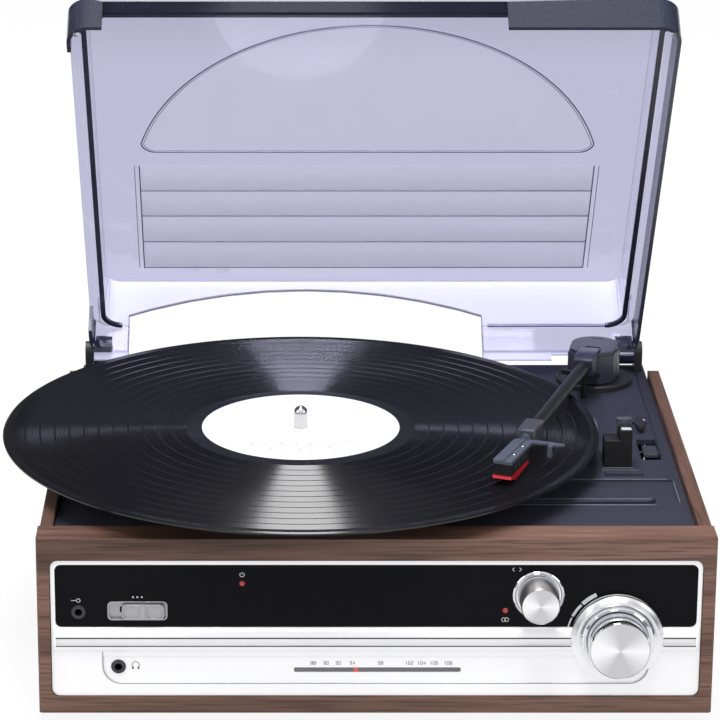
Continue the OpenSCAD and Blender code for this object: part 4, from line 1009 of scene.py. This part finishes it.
# The eye, in millimetres, and how far it is raised from looking straight down
eye = (-44.69, -1591.91, 661.0)
tilt = 71.96
camera = bpy.data.objects.new("camera", bpy.data.cameras.new("camera"))
bpy.context.scene.collection.objects.link(camera)
camera.location = Vector(eye) * MM + shift
camera.rotation_euler = (math.radians(tilt), 0, 0)
camera.data.lens = 166.4
camera.data.sensor_width = 36.0
camera.data.shift_x = 0.1083
camera.data.clip_start = 0.05
camera.data.clip_end = 50.0
bpy.context.scene.camera = camera


def soft_lamp(name, place, target, width, length, power):
    data = bpy.data.lights.new(name, "AREA")
    data.shape = "RECTANGLE"
    data.size = width
    data.size_y = length
    data.energy = power
    lamp = bpy.data.objects.new(name, data)
    bpy.context.scene.collection.objects.link(lamp)
    lamp.location = place
    aim(lamp, target)
    return lamp


# Lamps stand in metres. One long strip overhead, which the grooves of the record mirror as two bright wedges
strip = soft_lamp("overhead_strip", (-0.03, -0.05, 1.9), (-0.03, -0.05, 0.0), 0.54, 2.2, 48)
strip.rotation_euler = (0, 0, 0)
soft_lamp("left_box", (-1.9, -0.9, 1.2), (0, 0, 0.1), 1.0, 1.0, 9)
soft_lamp("right_box", (1.9, -0.8, 1.1), (0, 0, 0.1), 0.9, 1.0, 6)

world = bpy.data.worlds.new("studio")
bpy.context.scene.world = world
world.use_nodes = True
sky = world.node_tree.nodes
sky_links = world.node_tree.links
background = sky["Background"]
# the side that the studio is bright on, in front of the set and above it
bright_side = (0.0, -0.92, 0.38)
direction = sky.new("ShaderNodeTexCoord")
lean = sky.new("ShaderNodeVectorMath")
lean.operation = "DOT_PRODUCT"
lean.inputs[1].default_value = bright_side
sky_links.new(direction.outputs["Generated"], lean.inputs[0])
# dark behind the set, bright in front of it and above the camera
lifted = spread(sky, sky_links, lean.outputs["Value"], 0.5, 1.0)
dome = ramp(sky, sky_links, lifted,
            [(0.50, (0.05, 0.05, 0.055)), (0.65, (0.20, 0.20, 0.21)), (0.82, (0.85, 0.85, 0.86))])
# the eye sees plain white behind the set, also through the clear cover, but mirrors see the dome
path = sky.new("ShaderNodeLightPath")
bounces = sky.new("ShaderNodeMath")
bounces.operation = "ADD"
sky_links.new(path.outputs["Diffuse Depth"], bounces.inputs[0])
sky_links.new(path.outputs["Glossy Depth"], bounces.inputs[1])
seen = sky.new("ShaderNodeMath")
seen.operation = "LESS_THAN"
seen.inputs[1].default_value = 0.5
sky_links.new(bounces.outputs["Value"], seen.inputs[0])
choice = sky.new("ShaderNodeMix")
choice.data_type = "RGBA"
choice.inputs["B"].default_value = (1, 1, 1, 1)
sky_links.new(seen.outputs["Value"], choice.inputs["Factor"])
sky_links.new(dome, choice.inputs["A"])
sky_links.new(choice.outputs["Result"], background.inputs["Color"])
background.inputs["Strength"].default_value = 1.0


def pale_floor():
    """Floor that is white by itself and takes a soft shadow from a small share of matt white."""
    material, nodes, links, shader = new_material("pale_floor")
    shader.inputs["Base Color"].default_value = (0.92, 0.92, 0.92, 1.0)
    shader.inputs["Roughness"].default_value = 0.9
    shader.inputs["Specular IOR Level"].default_value = 0.0
    glow = nodes.new("ShaderNodeEmission")
    glow.inputs["Strength"].default_value = 1.0
    mixed(nodes, links, shader.outputs["BSDF"], glow.outputs["Emission"]).default_value = 0.9
    mesh = bpy.data.meshes.new("floor")
    # half its side, in metres
    half = 9.0
    corners = [(-half, -half, 0), (half, -half, 0), (half, half, 0), (-half, half, 0)]
    mesh.from_pydata(corners, [], [(0, 1, 2, 3)])
    mesh.materials.append(material)
    obj = bpy.data.objects.new("floor", mesh)
    bpy.context.scene.collection.objects.link(obj)


pale_floor()
bpy.context.scene.view_settings.view_transform = "Standard"
